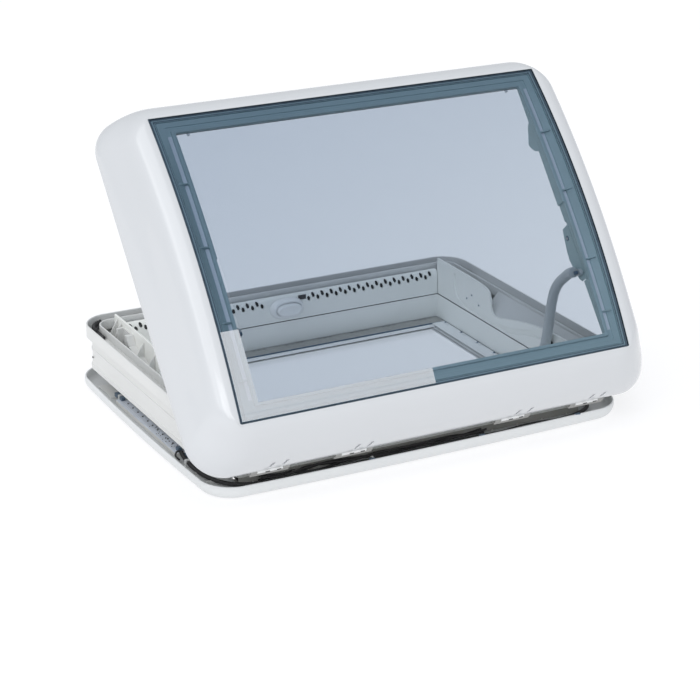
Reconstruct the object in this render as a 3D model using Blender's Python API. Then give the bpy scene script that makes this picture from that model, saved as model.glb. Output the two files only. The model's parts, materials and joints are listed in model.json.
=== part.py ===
"""Caravan rooflight (roof vent cover) with a hinged, double glazed lid.

The lid stands open at its highest catch, held by a tubular bow.  Lengths are in millimetres and are
turned into metres when a mesh is made.  +Z is up, +X runs along the hinge side, the hinge side faces
-Y, and z = 0 is the room side face of the interior trim frame.
"""
import math

import bmesh
import bpy
from mathutils import Matrix, Vector

MM = 0.001
GAP = 0.3                     # air left between two touching pieces

# ---------------------------------------------------------------- driving dimensions
BASE_SHIFT_Y = 19.5           # moves the roof opening's centre so that the open lid is centred over z = 0
TRIM_X = 780.0                # interior trim frame, outside
TRIM_Y = 580.0
TRIM_CORNER = 52.0
TRIM_HEIGHT = 24.0
TRIM_BOW = 7.0                # its sides swell by this much at the middle
CUTOUT_X = 700.0              # width of the hole sawn in the roof
ROOF_TOP = 40.0               # outside face of the roof, where the flange sits
COLLAR_X = 771.0              # roof frame's collar, outside
COLLAR_Y = 571.0
COLLAR_CORNER = 50.0
COLLAR_TOP = 121.0
WALL = 3.0                    # moulded wall thickness
LINER_X = 326.0               # half distance between the liner's side faces
LINER_Y = 243.0               # half distance between the liner's front and rear faces
LINER_BOTTOM = 17.0
SEAM_Z = 62.0                 # joint between the liner and the panels above it
PANEL_INNER_X = 327.0
PANEL_OUTER_X = 331.0

LID_OPEN_DEG = 50.46
HINGE_Y = -297.5              # hinge axis, before BASE_SHIFT_Y
HINGE_Z = 49.0
RIM_V = -2.0                  # the lid's front rim edge, seen from the hinge axis
RIM_W = 5.0
LID_DEPTH = 619.5             # from the front rim to the back rim
RIM_RAKE = 8.0                # the rim reaches this much lower at the lid's back than at its front
GLASS_X = 361.75              # half width of the outer pane's opening
GLASS_FRONT = 58.7
GLASS_BACK = 578.9
GLASS_TOP = 83.3
LID_CAMBER = 24.0             # rise of the lid's top between the glass's front and back edges
APERTURE_X = 322.0
APERTURE_FRONT = 88.7
APERTURE_BACK = 547.7
FRAME_UNDERSIDE = 78.0

HINGE_CENTRES = (-297.5, -147.5, 152.5, 300.0)
HINGE_LENGTH = 68.0
KNUCKLE_LENGTH = 11.0
KNUCKLE_RADIUS = 4.6
PIN_RADIUS = 2.0

BOW_RADIUS = 9.0
BOW_X = 315.0                 # middle of the bow's arms
BOW_PIVOT = (-231.0, 255.5)   # y and z of the bow's pivot with the lid open
BOW_FOOT = (-148.0, 97.0)     # y and z of the bow's foot with the lid open

GROOVE_WIDTH = 9.0            # the bow's guide groove
GROOVE_DEPTH = 2.4

LED_INNER_X = 353.0           # light boards, in the trim frame's side channels
LED_OUTER_X = 370.5
LED_FRONT_Y = -100.0
LED_REAR_Y = 155.0
HARNESS_RADIUS = 3.6

VENT_PITCH = 19.1             # distance between the vent holes of one row
VENT_SLANT_DEG = -25.0
VENT_HALF_WIDTH = 2.6
VENT_HALF_LENGTH = 4.2
VENT_ROWS = ((0.0, 102.6), (0.5, 97.4))   # stagger, in pitches, and z of each row

BUTTON_X = 5.0
BUTTON_REST_Y = 230.0
BUTTON_Z = 88.0

BAR_REST_Y = 209.0            # the blind's draw bar; the flyscreen's lies at the opposite side
BAR_REST_Z = {"blind": 13.0, "flyscreen": 7.0}

# ---------------------------------------------------------------- materials


def material(name, colour, roughness, metallic=0.0, alpha=1.0):
    """One Principled BSDF material."""
    result = bpy.data.materials.new(name)
    result.use_nodes = True
    shader = result.node_tree.nodes["Principled BSDF"]
    shader.inputs["Base Color"].default_value = (*colour, 1.0)
    shader.inputs["Roughness"].default_value = roughness
    shader.inputs["Metallic"].default_value = metallic
    shader.inputs["Alpha"].default_value = alpha
    return result


def make_materials():
    """All finishes of the rooflight."""
    return {
        "lid_white": material("lid_white", (0.86, 0.87, 0.88), 0.18),
        "frame_white": material("frame_white", (0.74, 0.75, 0.75), 0.4),
        "panel_grey": material("panel_grey", (0.60, 0.61, 0.61), 0.45),
        "tinted_pane": material("tinted_pane", (0.32, 0.42, 0.47), 0.03, 0.0, 0.45),
        "clear_pane": material("clear_pane", (0.80, 0.84, 0.86), 0.03, 0.0, 0.3),
        "inner_frame_grey": material("inner_frame_grey", (0.42, 0.47, 0.49), 0.4),
        "rubber_black": material("rubber_black", (0.02, 0.02, 0.02), 0.7),
        "bow_grey": material("bow_grey", (0.50, 0.53, 0.54), 0.35),
        "hinge_white": material("hinge_white", (0.78, 0.79, 0.79), 0.35),
        "track_grey": material("track_grey", (0.36, 0.36, 0.34), 0.5),
        "bar_white": material("bar_white", (0.78, 0.79, 0.78), 0.35),
        "board_blue": material("board_blue", (0.62, 0.67, 0.74), 0.4),
        "diffuser_white": material("diffuser_white", (0.85, 0.85, 0.83), 0.5),
        "steel": material("steel", (0.6, 0.6, 0.6), 0.3, 1.0),
        "fabric_silver": material("fabric_silver", (0.55, 0.56, 0.57), 0.8),
        "mesh_black": material("mesh_black", (0.08, 0.08, 0.08), 0.9),
    }


# ---------------------------------------------------------------- mesh helpers


def solid(name, vertices, faces, finish, parent, smooth=35.0):
    """Make one closed object from millimetre vertices, its faces turned outward."""
    mesh = bpy.data.meshes.new(name)
    mesh.from_pydata([Vector(point) * MM for point in vertices], [], faces)
    work = bmesh.new()
    work.from_mesh(mesh)
    bmesh.ops.recalc_face_normals(work, faces=work.faces)
    work.to_mesh(mesh)
    work.free()
    mesh.shade_smooth()
    mesh.set_sharp_from_angle(angle=math.radians(smooth))
    mesh.materials.append(finish)
    result = bpy.data.objects.new(name, mesh)
    bpy.context.scene.collection.objects.link(result)
    result.parent = parent
    return result


def loft(rings, closed):
    """Faces between equal loops of points; closed joins the last loop to the first, else caps both."""
    count = len(rings[0])
    vertices = [point for ring in rings for point in ring]
    faces = []
    spans = len(rings) if closed else len(rings) - 1
    for level in range(spans):
        low = level * count
        high = (level + 1) % len(rings) * count
        for step in range(count):
            after = (step + 1) % count
            faces.append((low + step, low + after, high + after, high + step))
    if not closed:
        faces.append(tuple(reversed(range(count))))
        faces.append(tuple(range(len(vertices) - count, len(vertices))))
    return vertices, faces


AXES = {
    "X": lambda run, a, b: (run, a, b),
    "Y": lambda run, a, b: (a, run, b),
    "Z": lambda run, a, b: (a, b, run),
}


def prism(outline, axis, low, high):
    """An outline in the plane across an axis, extruded from low to high."""
    place = AXES[axis]
    return loft([[place(low, a, b) for a, b in outline], [place(high, a, b) for a, b in outline]], False)


def block(x, y, z):
    """A box from three (low, high) pairs."""
    return prism([(x[0], y[0]), (x[1], y[0]), (x[1], y[1]), (x[0], y[1])], "Z", z[0], z[1])


def circle(centre, radius, sides, start=0.0):
    """Corners of a regular polygon."""
    turn = 2 * math.pi / sides
    angles = [start + turn * i for i in range(sides)]
    return [(centre[0] + radius * math.cos(a), centre[1] + radius * math.sin(a)) for a in angles]


def turned_x(profile, centre, sides):
    """A solid turned about a line along X; profile lists (x, radius) from one end to the other."""
    rings = [[(x, a, b) for a, b in circle(centre, radius, sides)] for x, radius in profile]
    return loft(rings, False)


def joined(parts):
    """Several separate bodies as one list of vertices and faces, for cutters."""
    vertices = []
    faces = []
    for part_vertices, part_faces in parts:
        offset = len(vertices)
        vertices.extend(part_vertices)
        faces.extend(tuple(index + offset for index in face) for face in part_faces)
    return vertices, faces


def combine(target, shape, operation):
    """Cut a shape from an object, or weld it on, by a Boolean with a hidden operand."""
    finish = target.data.materials[0]
    operand = solid(target.name + "_" + operation.lower(), *shape, finish, target.parent)
    operand.matrix_local = target.matrix_local.copy()
    operand.hide_render = True
    operand.display_type = "WIRE"
    step = target.modifiers.new(operation.lower(), "BOOLEAN")
    step.operation = operation
    step.object = operand


def smooth_route(points, steps):
    """A Catmull-Rom curve through the points, with the given number of steps between each two."""
    points = [Vector(point) for point in points]
    ends = [2 * points[0] - points[1]] + points + [2 * points[-1] - points[-2]]
    route = []
    for index in range(1, len(ends) - 2):
        before, start, end, after = ends[index - 1:index + 3]
        for step in range(steps):
            t = step / steps
            route.append(0.5 * (2 * start + (end - before) * t
                                + (2 * before - 5 * start + 4 * end - after) * t ** 2
                                + (3 * start - before - 3 * end + after) * t ** 3))
    route.append(points[-1])
    return route


def tube(route, radius, sides):
    """A capped round tube along a list of points."""
    route = [Vector(point) for point in route]
    tangents = []
    for index in range(len(route)):
        before = route[max(index - 1, 0)]
        after = route[min(index + 1, len(route) - 1)]
        tangents.append((after - before).normalized())
    side = tangents[0].orthogonal().normalized()
    rings = []
    for point, tangent in zip(route, tangents):
        side = (side - tangent * side.dot(tangent)).normalized()
        other = tangent.cross(side)
        rings.append([tuple(point + side * a + other * b) for a, b in circle((0, 0), radius, sides)])
    return loft(rings, False)


def rounded_loop(half_x, low_y, high_y, radius, corner_steps, side_steps, end_steps):
    """A rounded rectangle, from the +X side's start round through +Y, -X and -Y."""
    corners = ((1, high_y - radius, 0), (-1, high_y - radius, 1),
               (-1, low_y + radius, 2), (1, low_y + radius, 3))
    loop = []
    for index, (sign, centre_y, quarter) in enumerate(corners):
        centre_x = sign * (half_x - radius)
        for step in range(corner_steps + 1):
            angle = math.pi / 2 * (quarter + step / corner_steps)
            loop.append((centre_x + radius * math.cos(angle), centre_y + radius * math.sin(angle)))
        next_sign, next_y, _ = corners[(index + 1) % 4]
        steps = end_steps if quarter in (0, 2) else side_steps
        start = Vector(loop[-1])
        angle = math.pi / 2 * (quarter + 1)
        end = Vector((next_sign * (half_x - radius) + radius * math.cos(angle),
                      next_y + radius * math.sin(angle)))
        loop.extend(tuple(start.lerp(end, step / steps)) for step in range(1, steps))
    return loop


def swept_frame(profile, size_x, size_y, corner, corner_steps, side_steps=1, bow=0.0):
    """A profile of (distance in from the outside, z) swept round a rounded rectangle.

    Corners share their centres, so each radius is corner - inset, unless a point names its own.
    The sides swell by bow at the outside and stay straight at the deepest inset.
    """
    deepest = max(point[0] for point in profile)
    rings = []
    for inset, z, *own_radius in profile:
        half_x = size_x / 2 - inset
        half_y = size_y / 2 - inset
        radius = own_radius[0] if own_radius else corner - inset
        fade = 1 - inset / deepest if bow else 0.0
        loop = rounded_loop(half_x, -half_y, half_y, radius, corner_steps, side_steps, side_steps)
        ring = []
        for x, y in loop:
            swell_x = bow * fade * x / half_x * (1 - (y / half_y) ** 2)
            swell_y = bow * fade * y / half_y * (1 - (x / half_x) ** 2)
            ring.append((x + swell_x, y + swell_y, z))
        rings.append(ring)
    return loft(rings, True)


def empty(name, location, rotation_x=0.0, parent=None):
    """A frame for other objects, in millimetres and degrees."""
    result = bpy.data.objects.new(name, None)
    bpy.context.scene.collection.objects.link(result)
    result.location = Vector(location) * MM
    result.rotation_euler = (math.radians(rotation_x), 0.0, 0.0)
    result.parent = parent
    return result


# ---------------------------------------------------------------- room side frame


def build_trim_frame(finish, base):
    """Interior trim frame: a tray with a wiring channel all round and a rounded lower edge."""
    floor = WALL
    profile = ((16, 0), (68, 0, 6), (68, floor, 6), (17, floor), (8.5, 6), (5, 12),
               (3.5, TRIM_HEIGHT), (0.5, TRIM_HEIGHT), (0, 18), (1.2, 11), (4.2, 5.5), (9, 1.8))
    shape = swept_frame(profile, TRIM_X, TRIM_Y, TRIM_CORNER, 8, 3, TRIM_BOW)
    solid("trim_frame", *shape, finish["frame_white"], base)


def build_liner(finish, base):
    """Upright band that lines the hole in the roof."""
    profile = ((0, LINER_BOTTOM), (0, SEAM_Z - GAP), (-WALL, SEAM_Z - GAP), (-WALL, LINER_BOTTOM))
    shape = swept_frame(profile, 2 * LINER_X, 2 * LINER_Y, 4.0, 3)
    solid("inner_liner", *shape, finish["panel_grey"], base)


def build_lights(finish, base):
    """A light board on a diffuser strip in each side channel of the trim frame."""
    board_low = 10.0
    board_high = 11.6
    for side, sign in (("left", -1), ("right", 1)):
        near, far = sorted((sign * LED_INNER_X, sign * LED_OUTER_X))
        diffuser = block((near, far), (LED_FRONT_Y, LED_REAR_Y), (WALL + GAP, board_low - GAP))
        solid(side + "_led_diffuser", *diffuser, finish["diffuser_white"], base)
        board = block((near, far), (LED_FRONT_Y + 2, LED_REAR_Y - 2), (board_low, board_high))
        solid(side + "_led_board", *board, finish["board_blue"], base)
        for end, y in (("front", LED_FRONT_Y + 8), ("rear", LED_REAR_Y - 9)):
            plug = block((near + 5, far - 5), (y - 5, y + 5), (board_high + GAP, 17.5))
            solid(side + "_" + end + "_led_plug", *plug, finish["bar_white"], base)


def harness_route():
    """Wiring loom: from the left light board round the front channel to the right one."""
    left = ((-364, -106, 14.5), (-366, -126, 11), (-367, -165, 9), (-361, -205, 9), (-342, -243, 9.5),
            (-308, -262, 10), (-262, -268, 10))
    middle = ((-205, -266, 11), (-150, -270, 10), (-80, -266, 10), (0, -269, 10), (80, -266, 10),
              (150, -270, 10), (205, -266, 11))
    right = tuple((-x, y, z) for x, y, z in reversed(left))
    return smooth_route(left + middle + right, 3)


def build_wiring(finish, base):
    """Wiring loom in the channel, with a tie round it."""
    solid("wire_harness", *tube(harness_route(), HARNESS_RADIUS, 8), finish["rubber_black"], base)
    tie_low = -96.5
    tie_high = -93.5
    inside = HARNESS_RADIUS + 1.2
    outside = HARNESS_RADIUS + 2.6
    rings = []
    for x, radius in ((tie_low, outside), (tie_high, outside), (tie_high, inside), (tie_low, inside)):
        rings.append([(x, y, z) for y, z in circle((-266.6, 10.0), radius, 8)])
    solid("cable_tie", *loft(rings, True), finish["bar_white"], base)


# ---------------------------------------------------------------- roof side frame


def build_roof_frame(finish, base):
    """Flange, ring and grooved collar; the front is sloped so that the shut lid clears it."""
    ring_in = 9.5
    neck_in = (COLLAR_X - CUTOUT_X) / 2 + 1.0
    channel_in = 23.0
    floor = 101.0
    profile = ((0, COLLAR_TOP), (0, 98), (ring_in, 96), (ring_in, ROOF_TOP),
               (neck_in - WALL, ROOF_TOP, 23), (neck_in - WALL, 26, 23), (neck_in, 26, 20),
               (neck_in, ROOF_TOP + WALL, 20), (ring_in + WALL, ROOF_TOP + WALL),
               (ring_in + WALL, floor), (channel_in + WALL, floor),
               (channel_in + WALL, COLLAR_TOP - 2), (channel_in, COLLAR_TOP - 2),
               (channel_in, floor + WALL), (WALL, floor + WALL), (WALL, COLLAR_TOP))
    frame = solid("roof_frame", *swept_frame(profile, COLLAR_X, COLLAR_Y, COLLAR_CORNER, 6),
                  finish["frame_white"], base)
    slope_foot = (-287.5, 54.0)
    slope_head = (-226.0, 133.0)
    outline = (slope_foot, slope_head, (slope_head[0], 200), (-400, 200), (-400, slope_foot[1]))
    combine(frame, prism(outline, "X", -450, 450), "DIFFERENCE")


def build_rim_foam(finish, base):
    """Foam strip laid in the collar's groove, along the back and round its corners."""
    profile = ((10, 104.4), (10, 110), (20, 110), (20, 104.4))
    shape = swept_frame(profile, COLLAR_X, COLLAR_Y, COLLAR_CORNER, 4)
    foam = solid("rim_foam", *shape, finish["rubber_black"], base)
    combine(foam, block((-450, 450), (-400, 205), (90, 130)), "DIFFERENCE")


def panel_outline():
    """Side panel seen from the side, (y, z): high at the back, stepped down to a wavy front."""
    top = ((248, 131.5), (170, 131.5), (98, 130.5), (66, 125), (56.5, 111), (54, 97), (46, 86), (29, 84.5),
           (2, 91), (-40, 101), (-100, 111), (-170, 116), (-241, 116))
    crest = [tuple(point) for point in smooth_route(top, 2)]
    return [(-241, SEAM_Z), (248, SEAM_Z)] + crest


def groove_route():
    """Middle of the bow's guide groove, (y, z), from its mouth at the back to its front end."""
    points = ((182, 121), (181, 103), (172, 83), (150, 73), (105, 70), (60, 69), (25, 69.5), (-10, 73),
              (-45, 82), (-80, 92), (-115, 96), BOW_FOOT)
    return smooth_route(points, 2)


def strip_along(route, half_width):
    """Outline of a band of constant width along a flat route."""
    left = []
    right = []
    for index, point in enumerate(route):
        before = route[max(index - 1, 0)]
        after = route[min(index + 1, len(route) - 1)]
        ahead = (after - before).normalized()
        across = Vector((-ahead.y, ahead.x)) * half_width
        left.append(tuple(point + across))
        right.append(tuple(point - across))
    return left + list(reversed(right))


def build_side_panels(finish, base):
    """Left and right panels with the bow's guide groove, and the guide mouldings behind them."""
    groove = strip_along([point.to_2d() for point in groove_route()], GROOVE_WIDTH / 2)
    guide_outline = ((-60, SEAM_Z + 2), (206, SEAM_Z + 2), (206, 122), (160, 122), (150, 106), (40, 82),
                     (-60, 88))
    for side, sign in (("left", -1), ("right", 1)):
        inner = sign * PANEL_INNER_X
        shape = prism(panel_outline(), "X", inner, sign * PANEL_OUTER_X)
        panel = solid(side + "_side_panel", *shape, finish["panel_grey"], base)
        cut = prism(groove, "X", inner - sign * 5, inner + sign * GROOVE_DEPTH)
        combine(panel, cut, "DIFFERENCE")
        guide = prism(guide_outline, "X", sign * (PANEL_OUTER_X + GAP), sign * 345.0)
        solid(side + "_bow_guide", *guide, finish["frame_white"], base)


def build_front_wall(finish, base):
    """Wall above the liner on the hinge side, with a ledge for the lid seal."""
    outline = ((-246, SEAM_Z), (-243, SEAM_Z), (-243, 116.4), (-234, 116.4), (-234, 119), (-246, 119))
    shape = prism(outline, "X", -PANEL_OUTER_X, PANEL_OUTER_X)
    solid("front_inner_wall", *shape, finish["panel_grey"], base)


def vent_centres():
    """Centres of the vent holes, (x, z): two staggered rows that leave room for the button."""
    centres = []
    for stagger, z in VENT_ROWS:
        for index in range(-17, 17):
            x = (index + stagger) * VENT_PITCH + 4.0
            if abs(x - BUTTON_X) > 42 and abs(x) < 312:
                centres.append((x, z))
    return centres


def vent_hole(x, z):
    """Outline of one slanted oval hole round its centre."""
    slant = math.radians(VENT_SLANT_DEG)
    oval = []
    for a, b in circle((0, 0), 1.0, 6):
        across = VENT_HALF_WIDTH * a
        along = VENT_HALF_LENGTH * b
        oval.append((x + across * math.cos(slant) + along * math.sin(slant),
                     z - across * math.sin(slant) + along * math.cos(slant)))
    return oval


def build_vent_strip(finish, base):
    """Rear wall above the liner: curved at the top, with two staggered rows of slanted vent holes."""
    outline = ((243, SEAM_Z), (243, 97), (243.6, 101.2), (245.6, 105.4), (249, 108.4), (254.8, 109.5),
               (254.8, 107.0), (250, 106.0), (247.6, 103.6), (246.1, 100.2), (245.6, 96.5), (245.6, SEAM_Z))
    shape = prism(outline, "X", -(LINER_X - GAP), LINER_X - GAP)
    strip = solid("rear_vent_strip", *shape, finish["panel_grey"], base)
    holes = [prism(vent_hole(x, z), "Y", 236.0, 252.0) for x, z in vent_centres()]
    combine(strip, joined(holes), "DIFFERENCE")


def oval_outline(centre, half_width, half_height, sides=16):
    """A stadium-like superellipse, (x, z)."""
    result = []
    for index in range(sides):
        angle = 2 * math.pi * (index + 0.5) / sides
        c = math.cos(angle)
        s = math.sin(angle)
        result.append((centre[0] + half_width * math.copysign(abs(c) ** 0.8, c),
                       centre[1] + half_height * math.copysign(abs(s) ** 0.8, s)))
    return result


def build_button(finish, base, button_frame):
    """Oval housing on the vent strip and the push button in it that frees the lid's catches."""
    centre = (BUTTON_X, BUTTON_Z)
    levels = ((242.6, 33, 19), (236, 32, 18), (231, 29, 15.5), (231, 25, 12.4), (240, 25, 12.4))
    rings = [[(x, y, z) for x, z in oval_outline(centre, a, b)] for y, a, b in levels]
    solid("button_housing", *loft(rings, False), finish["bar_white"], base)
    levels = ((236.5, 24.4, 11.8), (226.5, 24.4, 11.8), (223.5, 22.5, 10.2))
    rings = [[(x, y - BUTTON_REST_Y, z) for x, z in oval_outline((0, 0), a, b)] for y, a, b in levels]
    solid("release_button", *loft(rings, False), finish["bar_white"], button_frame)


# ---------------------------------------------------------------- blind and flyscreen


def build_tracks(finish, base):
    """Cassettes across the front and the back, and a rail with two grooves down each side."""
    low = WALL + GAP
    high = LINER_BOTTOM - GAP
    for end, sign in (("rear", 1), ("front", -1)):
        outer = sign * (LINER_Y - 1.0)
        mouth = sign * 214.0
        wall = sign * 1.2
        floor_edge = outer - sign * 22
        outline = ((mouth, high), (outer, high), (outer, low), (floor_edge, low), (floor_edge, low + 0.8),
                   (outer - wall, low + 0.8), (outer - wall, high - 1.0), (mouth, high - 1.0))
        shape = prism(outline, "X", -LINER_X + 1, LINER_X - 1)
        solid(end + "_cassette", *shape, finish["track_grey"], base)
    for side, sign in (("left", -1), ("right", 1)):
        back = sign * (LINER_X - 1.0)
        lip = sign * 298.0
        web = back - sign * 1.5
        outline = ((back, low), (lip, low), (lip, low + 0.9), (web, low + 0.9), (web, 9.5), (lip, 9.5),
                   (lip, 10.4), (web, 10.4), (web, high - 0.9), (lip, high - 0.9), (lip, high), (back, high))
        solid(side + "_rail", *prism(outline, "Y", -213.0, 213.0), finish["bar_white"], base)


def build_blinds(finish, base, blind_frame, screen_frame):
    """Pleat packs folded into the cassettes, and the draw bar at the loose end of each."""
    half = 322.0
    packs = (("blind", 1, (10.9, 15.2), "fabric_silver"), ("flyscreen", -1, (4.6, 9.1), "mesh_black"))
    frames = {"blind": blind_frame, "flyscreen": screen_frame}
    for name, sign, (low, high), cloth in packs:
        near, far = sorted((sign * 217.0, sign * 239.5))
        solid(name + "_pleats", *block((-half, half), (near, far), (low, high)), finish[cloth], base)
        foot = low - BAR_REST_Z[name]
        head = high - BAR_REST_Z[name]
        bar = ((-2.8, foot), (2.8, foot), (2.8, head), (1.6, head), (0, head - 1.2), (-1.6, head),
               (-2.8, head))
        solid(name + "_bar", *prism(bar, "X", -half, half), finish["bar_white"], frames[name])


# ---------------------------------------------------------------- lid


def camber(v):
    """Rise of the lid's top at a distance v from the front rim."""
    middle = (GLASS_FRONT + GLASS_BACK) / 2
    half = (GLASS_BACK - GLASS_FRONT) / 2
    return LID_CAMBER * (1 - ((v - middle) / half) ** 2)


def lid_ring(half_x, front, back, w, rise, radius, corner_steps=6):
    """A loop round the lid, in the lid's frame, that follows the camber by the share rise."""
    loop = rounded_loop(half_x, front, back, radius, corner_steps, 9, 1)
    return [(x, v + RIM_V, w + RIM_W + rise * camber(v)) for x, v in loop]


def glazing_ring(share, w, rise, radius, corner_steps=2):
    """A loop between the glass's edge (share 0) and the inner aperture (share 1)."""
    half_x = GLASS_X + share * (APERTURE_X - GLASS_X)
    front = GLASS_FRONT + share * (APERTURE_FRONT - GLASS_FRONT)
    back = GLASS_BACK + share * (APERTURE_BACK - GLASS_BACK)
    return lid_ring(half_x, front, back, w, rise, radius, corner_steps)


# outside of the lid from the rim up: half width, front, back, height, share of camber, corner radius
LID_SKIN = ((428.0, 0.0, 619.5, 0.0, 0.0, 62.0), (427.0, 1.0, 619.0, 10.0, 0.0, 63.0),
            (419.0, 7.0, 617.5, 30.0, 0.1, 66.0), (408.5, 18.0, 613.5, 50.0, 0.3, 68.0),
            (396.5, 32.5, 604.0, 69.0, 0.75, 62.0), (386.0, 45.0, 593.5, 79.0, 0.96, 50.0),
            (372.0, 55.0, 583.5, GLASS_TOP, 1.0, 26.0))


def skin_ring(half_x, front, back, w, rise, radius):
    """A loop on the lid's skin, raked where it doesn't follow the camber."""
    ring = []
    for x, y, z in lid_ring(half_x, front, back, w, rise, radius):
        ring.append((x, y, z - RIM_RAKE * (1 - rise) * (y - RIM_V) / LID_DEPTH))
    return ring


def build_lid_shell(finish, lid):
    """Glossy outer shell with a rebate for the outer pane."""
    ledge_top = GLASS_TOP - 4.4
    ledge_low = ledge_top - 2.5
    rings = [skin_ring(*level) for level in LID_SKIN]
    rings.append(glazing_ring(0.0, GLASS_TOP, 1.0, 1.0, 6))
    rings.append(glazing_ring(0.0, ledge_top, 1.0, 1.0, 6))
    rings.append(glazing_ring(0.2, ledge_top, 1.0, 1.0, 6))
    rings.append(glazing_ring(0.2, ledge_low, 1.0, 1.0, 6))
    rings.append(glazing_ring(-0.16, ledge_low, 1.0, 4.0, 6))
    for index in range(len(LID_SKIN) - 2, -1, -1):
        half_x, front, back, w, rise, radius = LID_SKIN[index]
        upper = index / (len(LID_SKIN) - 1)
        inward = WALL * (1 - 0.5 * upper)
        below = w - WALL * upper
        rings.append(skin_ring(half_x - inward, front + inward, back - inward, below, rise, radius - inward))
    solid("lid_shell", *loft(rings, True), finish["lid_white"], lid)


def pane(half_x, front, back, low, high, steps=12):
    """A curved sheet between two heights, following the camber."""
    upper = []
    lower = []
    for step in range(steps + 1):
        v = front + (back - front) * step / steps
        upper.append((v + RIM_V, high + RIM_W + camber(v)))
        lower.append((v + RIM_V, low + RIM_W + camber(v)))
    return prism(upper + list(reversed(lower)), "X", -half_x, half_x)


def build_glazing(finish, lid):
    """Tinted outer pane, the gasket under it and the clear inner pane."""
    edge = 1.2
    outer = pane(GLASS_X - GAP, GLASS_FRONT + GAP, GLASS_BACK - GAP, GLASS_TOP - 2.6, GLASS_TOP)
    solid("outer_pane", *outer, finish["tinted_pane"], lid)
    top = GLASS_TOP - 2.9
    rings = [glazing_ring(0.02, top, 1.0, 1.0), glazing_ring(0.18, top, 1.0, 1.0),
             glazing_ring(0.18, top - 1.2, 1.0, 1.0), glazing_ring(0.02, top - 1.2, 1.0, 1.0)]
    solid("pane_gasket", *loft(rings, True), finish["rubber_black"], lid)
    inner = pane(APERTURE_X - edge, APERTURE_FRONT + edge, APERTURE_BACK - edge, 73.4, 75.8)
    solid("inner_pane", *inner, finish["clear_pane"], lid)


def build_inner_frame(finish, lid):
    """Frame round the aperture under the glass: a channel, a flange for the seal and two pockets a side."""
    under = FRAME_UNDERSIDE
    lip = GLASS_TOP - 3.4
    channel = under + 0.8
    flange = under - 2.8
    foot = under - 5.4
    levels = ((1.0, under, 0.0), (1.0, channel + 3.0, 0.65), (0.8, channel + 3.0, 0.65),
              (0.8, channel, 0.6), (0.6, channel, 0.6), (0.28, lip, 1.0), (0.24, lip, 1.0),
              (0.24, flange, 0.0), (-0.1, flange, 0.0), (-0.1, foot, 0.0))
    rings = [glazing_ring(share, w, rise, 3.0) for share, w, rise in levels]
    rings.append(lid_ring(345.0, 71.3, 552.0, foot, 0.0, 3.0, 2))
    rings.append(lid_ring(342.0, 73.7, 550.0, under, 0.0, 3.0, 2))
    frame = solid("lid_inner_frame", *loft(rings, True), finish["inner_frame_grey"], lid)
    pockets = ((303.0, 327.0, 186, 325, 97.5), (326.5, 336.0, 195, 213, 84))
    for inner, outer, front, back, top in pockets:
        cuts = []
        for sign in (-1, 1):
            near, far = sorted((sign * inner, sign * outer))
            cuts.append(block((near, far), (front + RIM_V, back + RIM_V), (70 + RIM_W, top + RIM_W)))
        combine(frame, joined(cuts), "DIFFERENCE")


def build_lid_seal(finish, lid):
    """Rubber seal under the inner frame's flange, which lands inside the collar's groove."""
    top = FRAME_UNDERSIDE - 5.7
    foot = 65.6
    levels = ((366.0, 55.5, 567.0, top, 30.0), (354.0, 64.6, 555.0, top, 18.0),
              (356.0, 63.0, 557.0, foot, 20.0), (364.4, 57.0, 565.5, foot, 28.0))
    rings = [lid_ring(half_x, front, back, w, 0.0, radius, 4) for half_x, front, back, w, radius in levels]
    solid("lid_seal", *loft(rings, True), finish["rubber_black"], lid)


def lid_fitting(outline):
    """Turn (v, w) points of a lid fitting into the lid's frame."""
    return [(v + RIM_V, w + RIM_W) for v, w in outline]


def build_lid_fittings(finish, lid):
    """Cheek plates for the bow's pivot bolts, the bolts, and the catch plates near the lid's back."""
    root = FRAME_UNDERSIDE - GAP
    cheek_root = FRAME_UNDERSIDE + 5.0
    cheek = ((189, cheek_root), (189, 68), (196, 62), (212, 57.5), (226, 54), (235, 52.5), (250, 54),
             (276, 60), (287, 64), (289, cheek_root))
    catch = ((430, root), (431.5, 70), (434, 65), (441, 58), (448, 53.5), (453, 52.5), (465, 60.5),
             (475, 66), (482, 72), (484, root))
    pivot = lid_local(BOW_PIVOT)
    for side, sign in (("left", -1), ("right", 1)):
        plate = solid(side + "_bow_bracket", *prism(lid_fitting(cheek), "X", sign * 324.9, sign * 326.7),
                      finish["inner_frame_grey"], lid)
        hole = turned_x(((sign * 320.0, 4.4), (sign * 340.0, 4.4)), pivot, 10)
        combine(plate, hole, "DIFFERENCE")
        profile = ((sign * 316.0, 5.2), (sign * 317.7, 5.2), (sign * 317.7, 3.6), (sign * 327.1, 3.6),
                   (sign * 327.1, 6.0), (sign * 330.0, 6.0))
        solid(side + "_pivot_bolt", *turned_x(profile, pivot, 10), finish["steel"], lid)
        hook = prism(lid_fitting(catch), "X", sign * 323.5, sign * 326.5)
        solid(side + "_lid_catch", *hook, finish["inner_frame_grey"], lid)


def lid_local(point):
    """A (y, z) point of the open lid, seen from the hinge axis in the lid's own frame."""
    from_axis = Vector((point[0] - HINGE_Y, point[1] - HINGE_Z))
    turned = Matrix.Rotation(-math.radians(LID_OPEN_DEG), 2) @ from_axis
    return (turned.x, turned.y)


# ---------------------------------------------------------------- hinges


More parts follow.
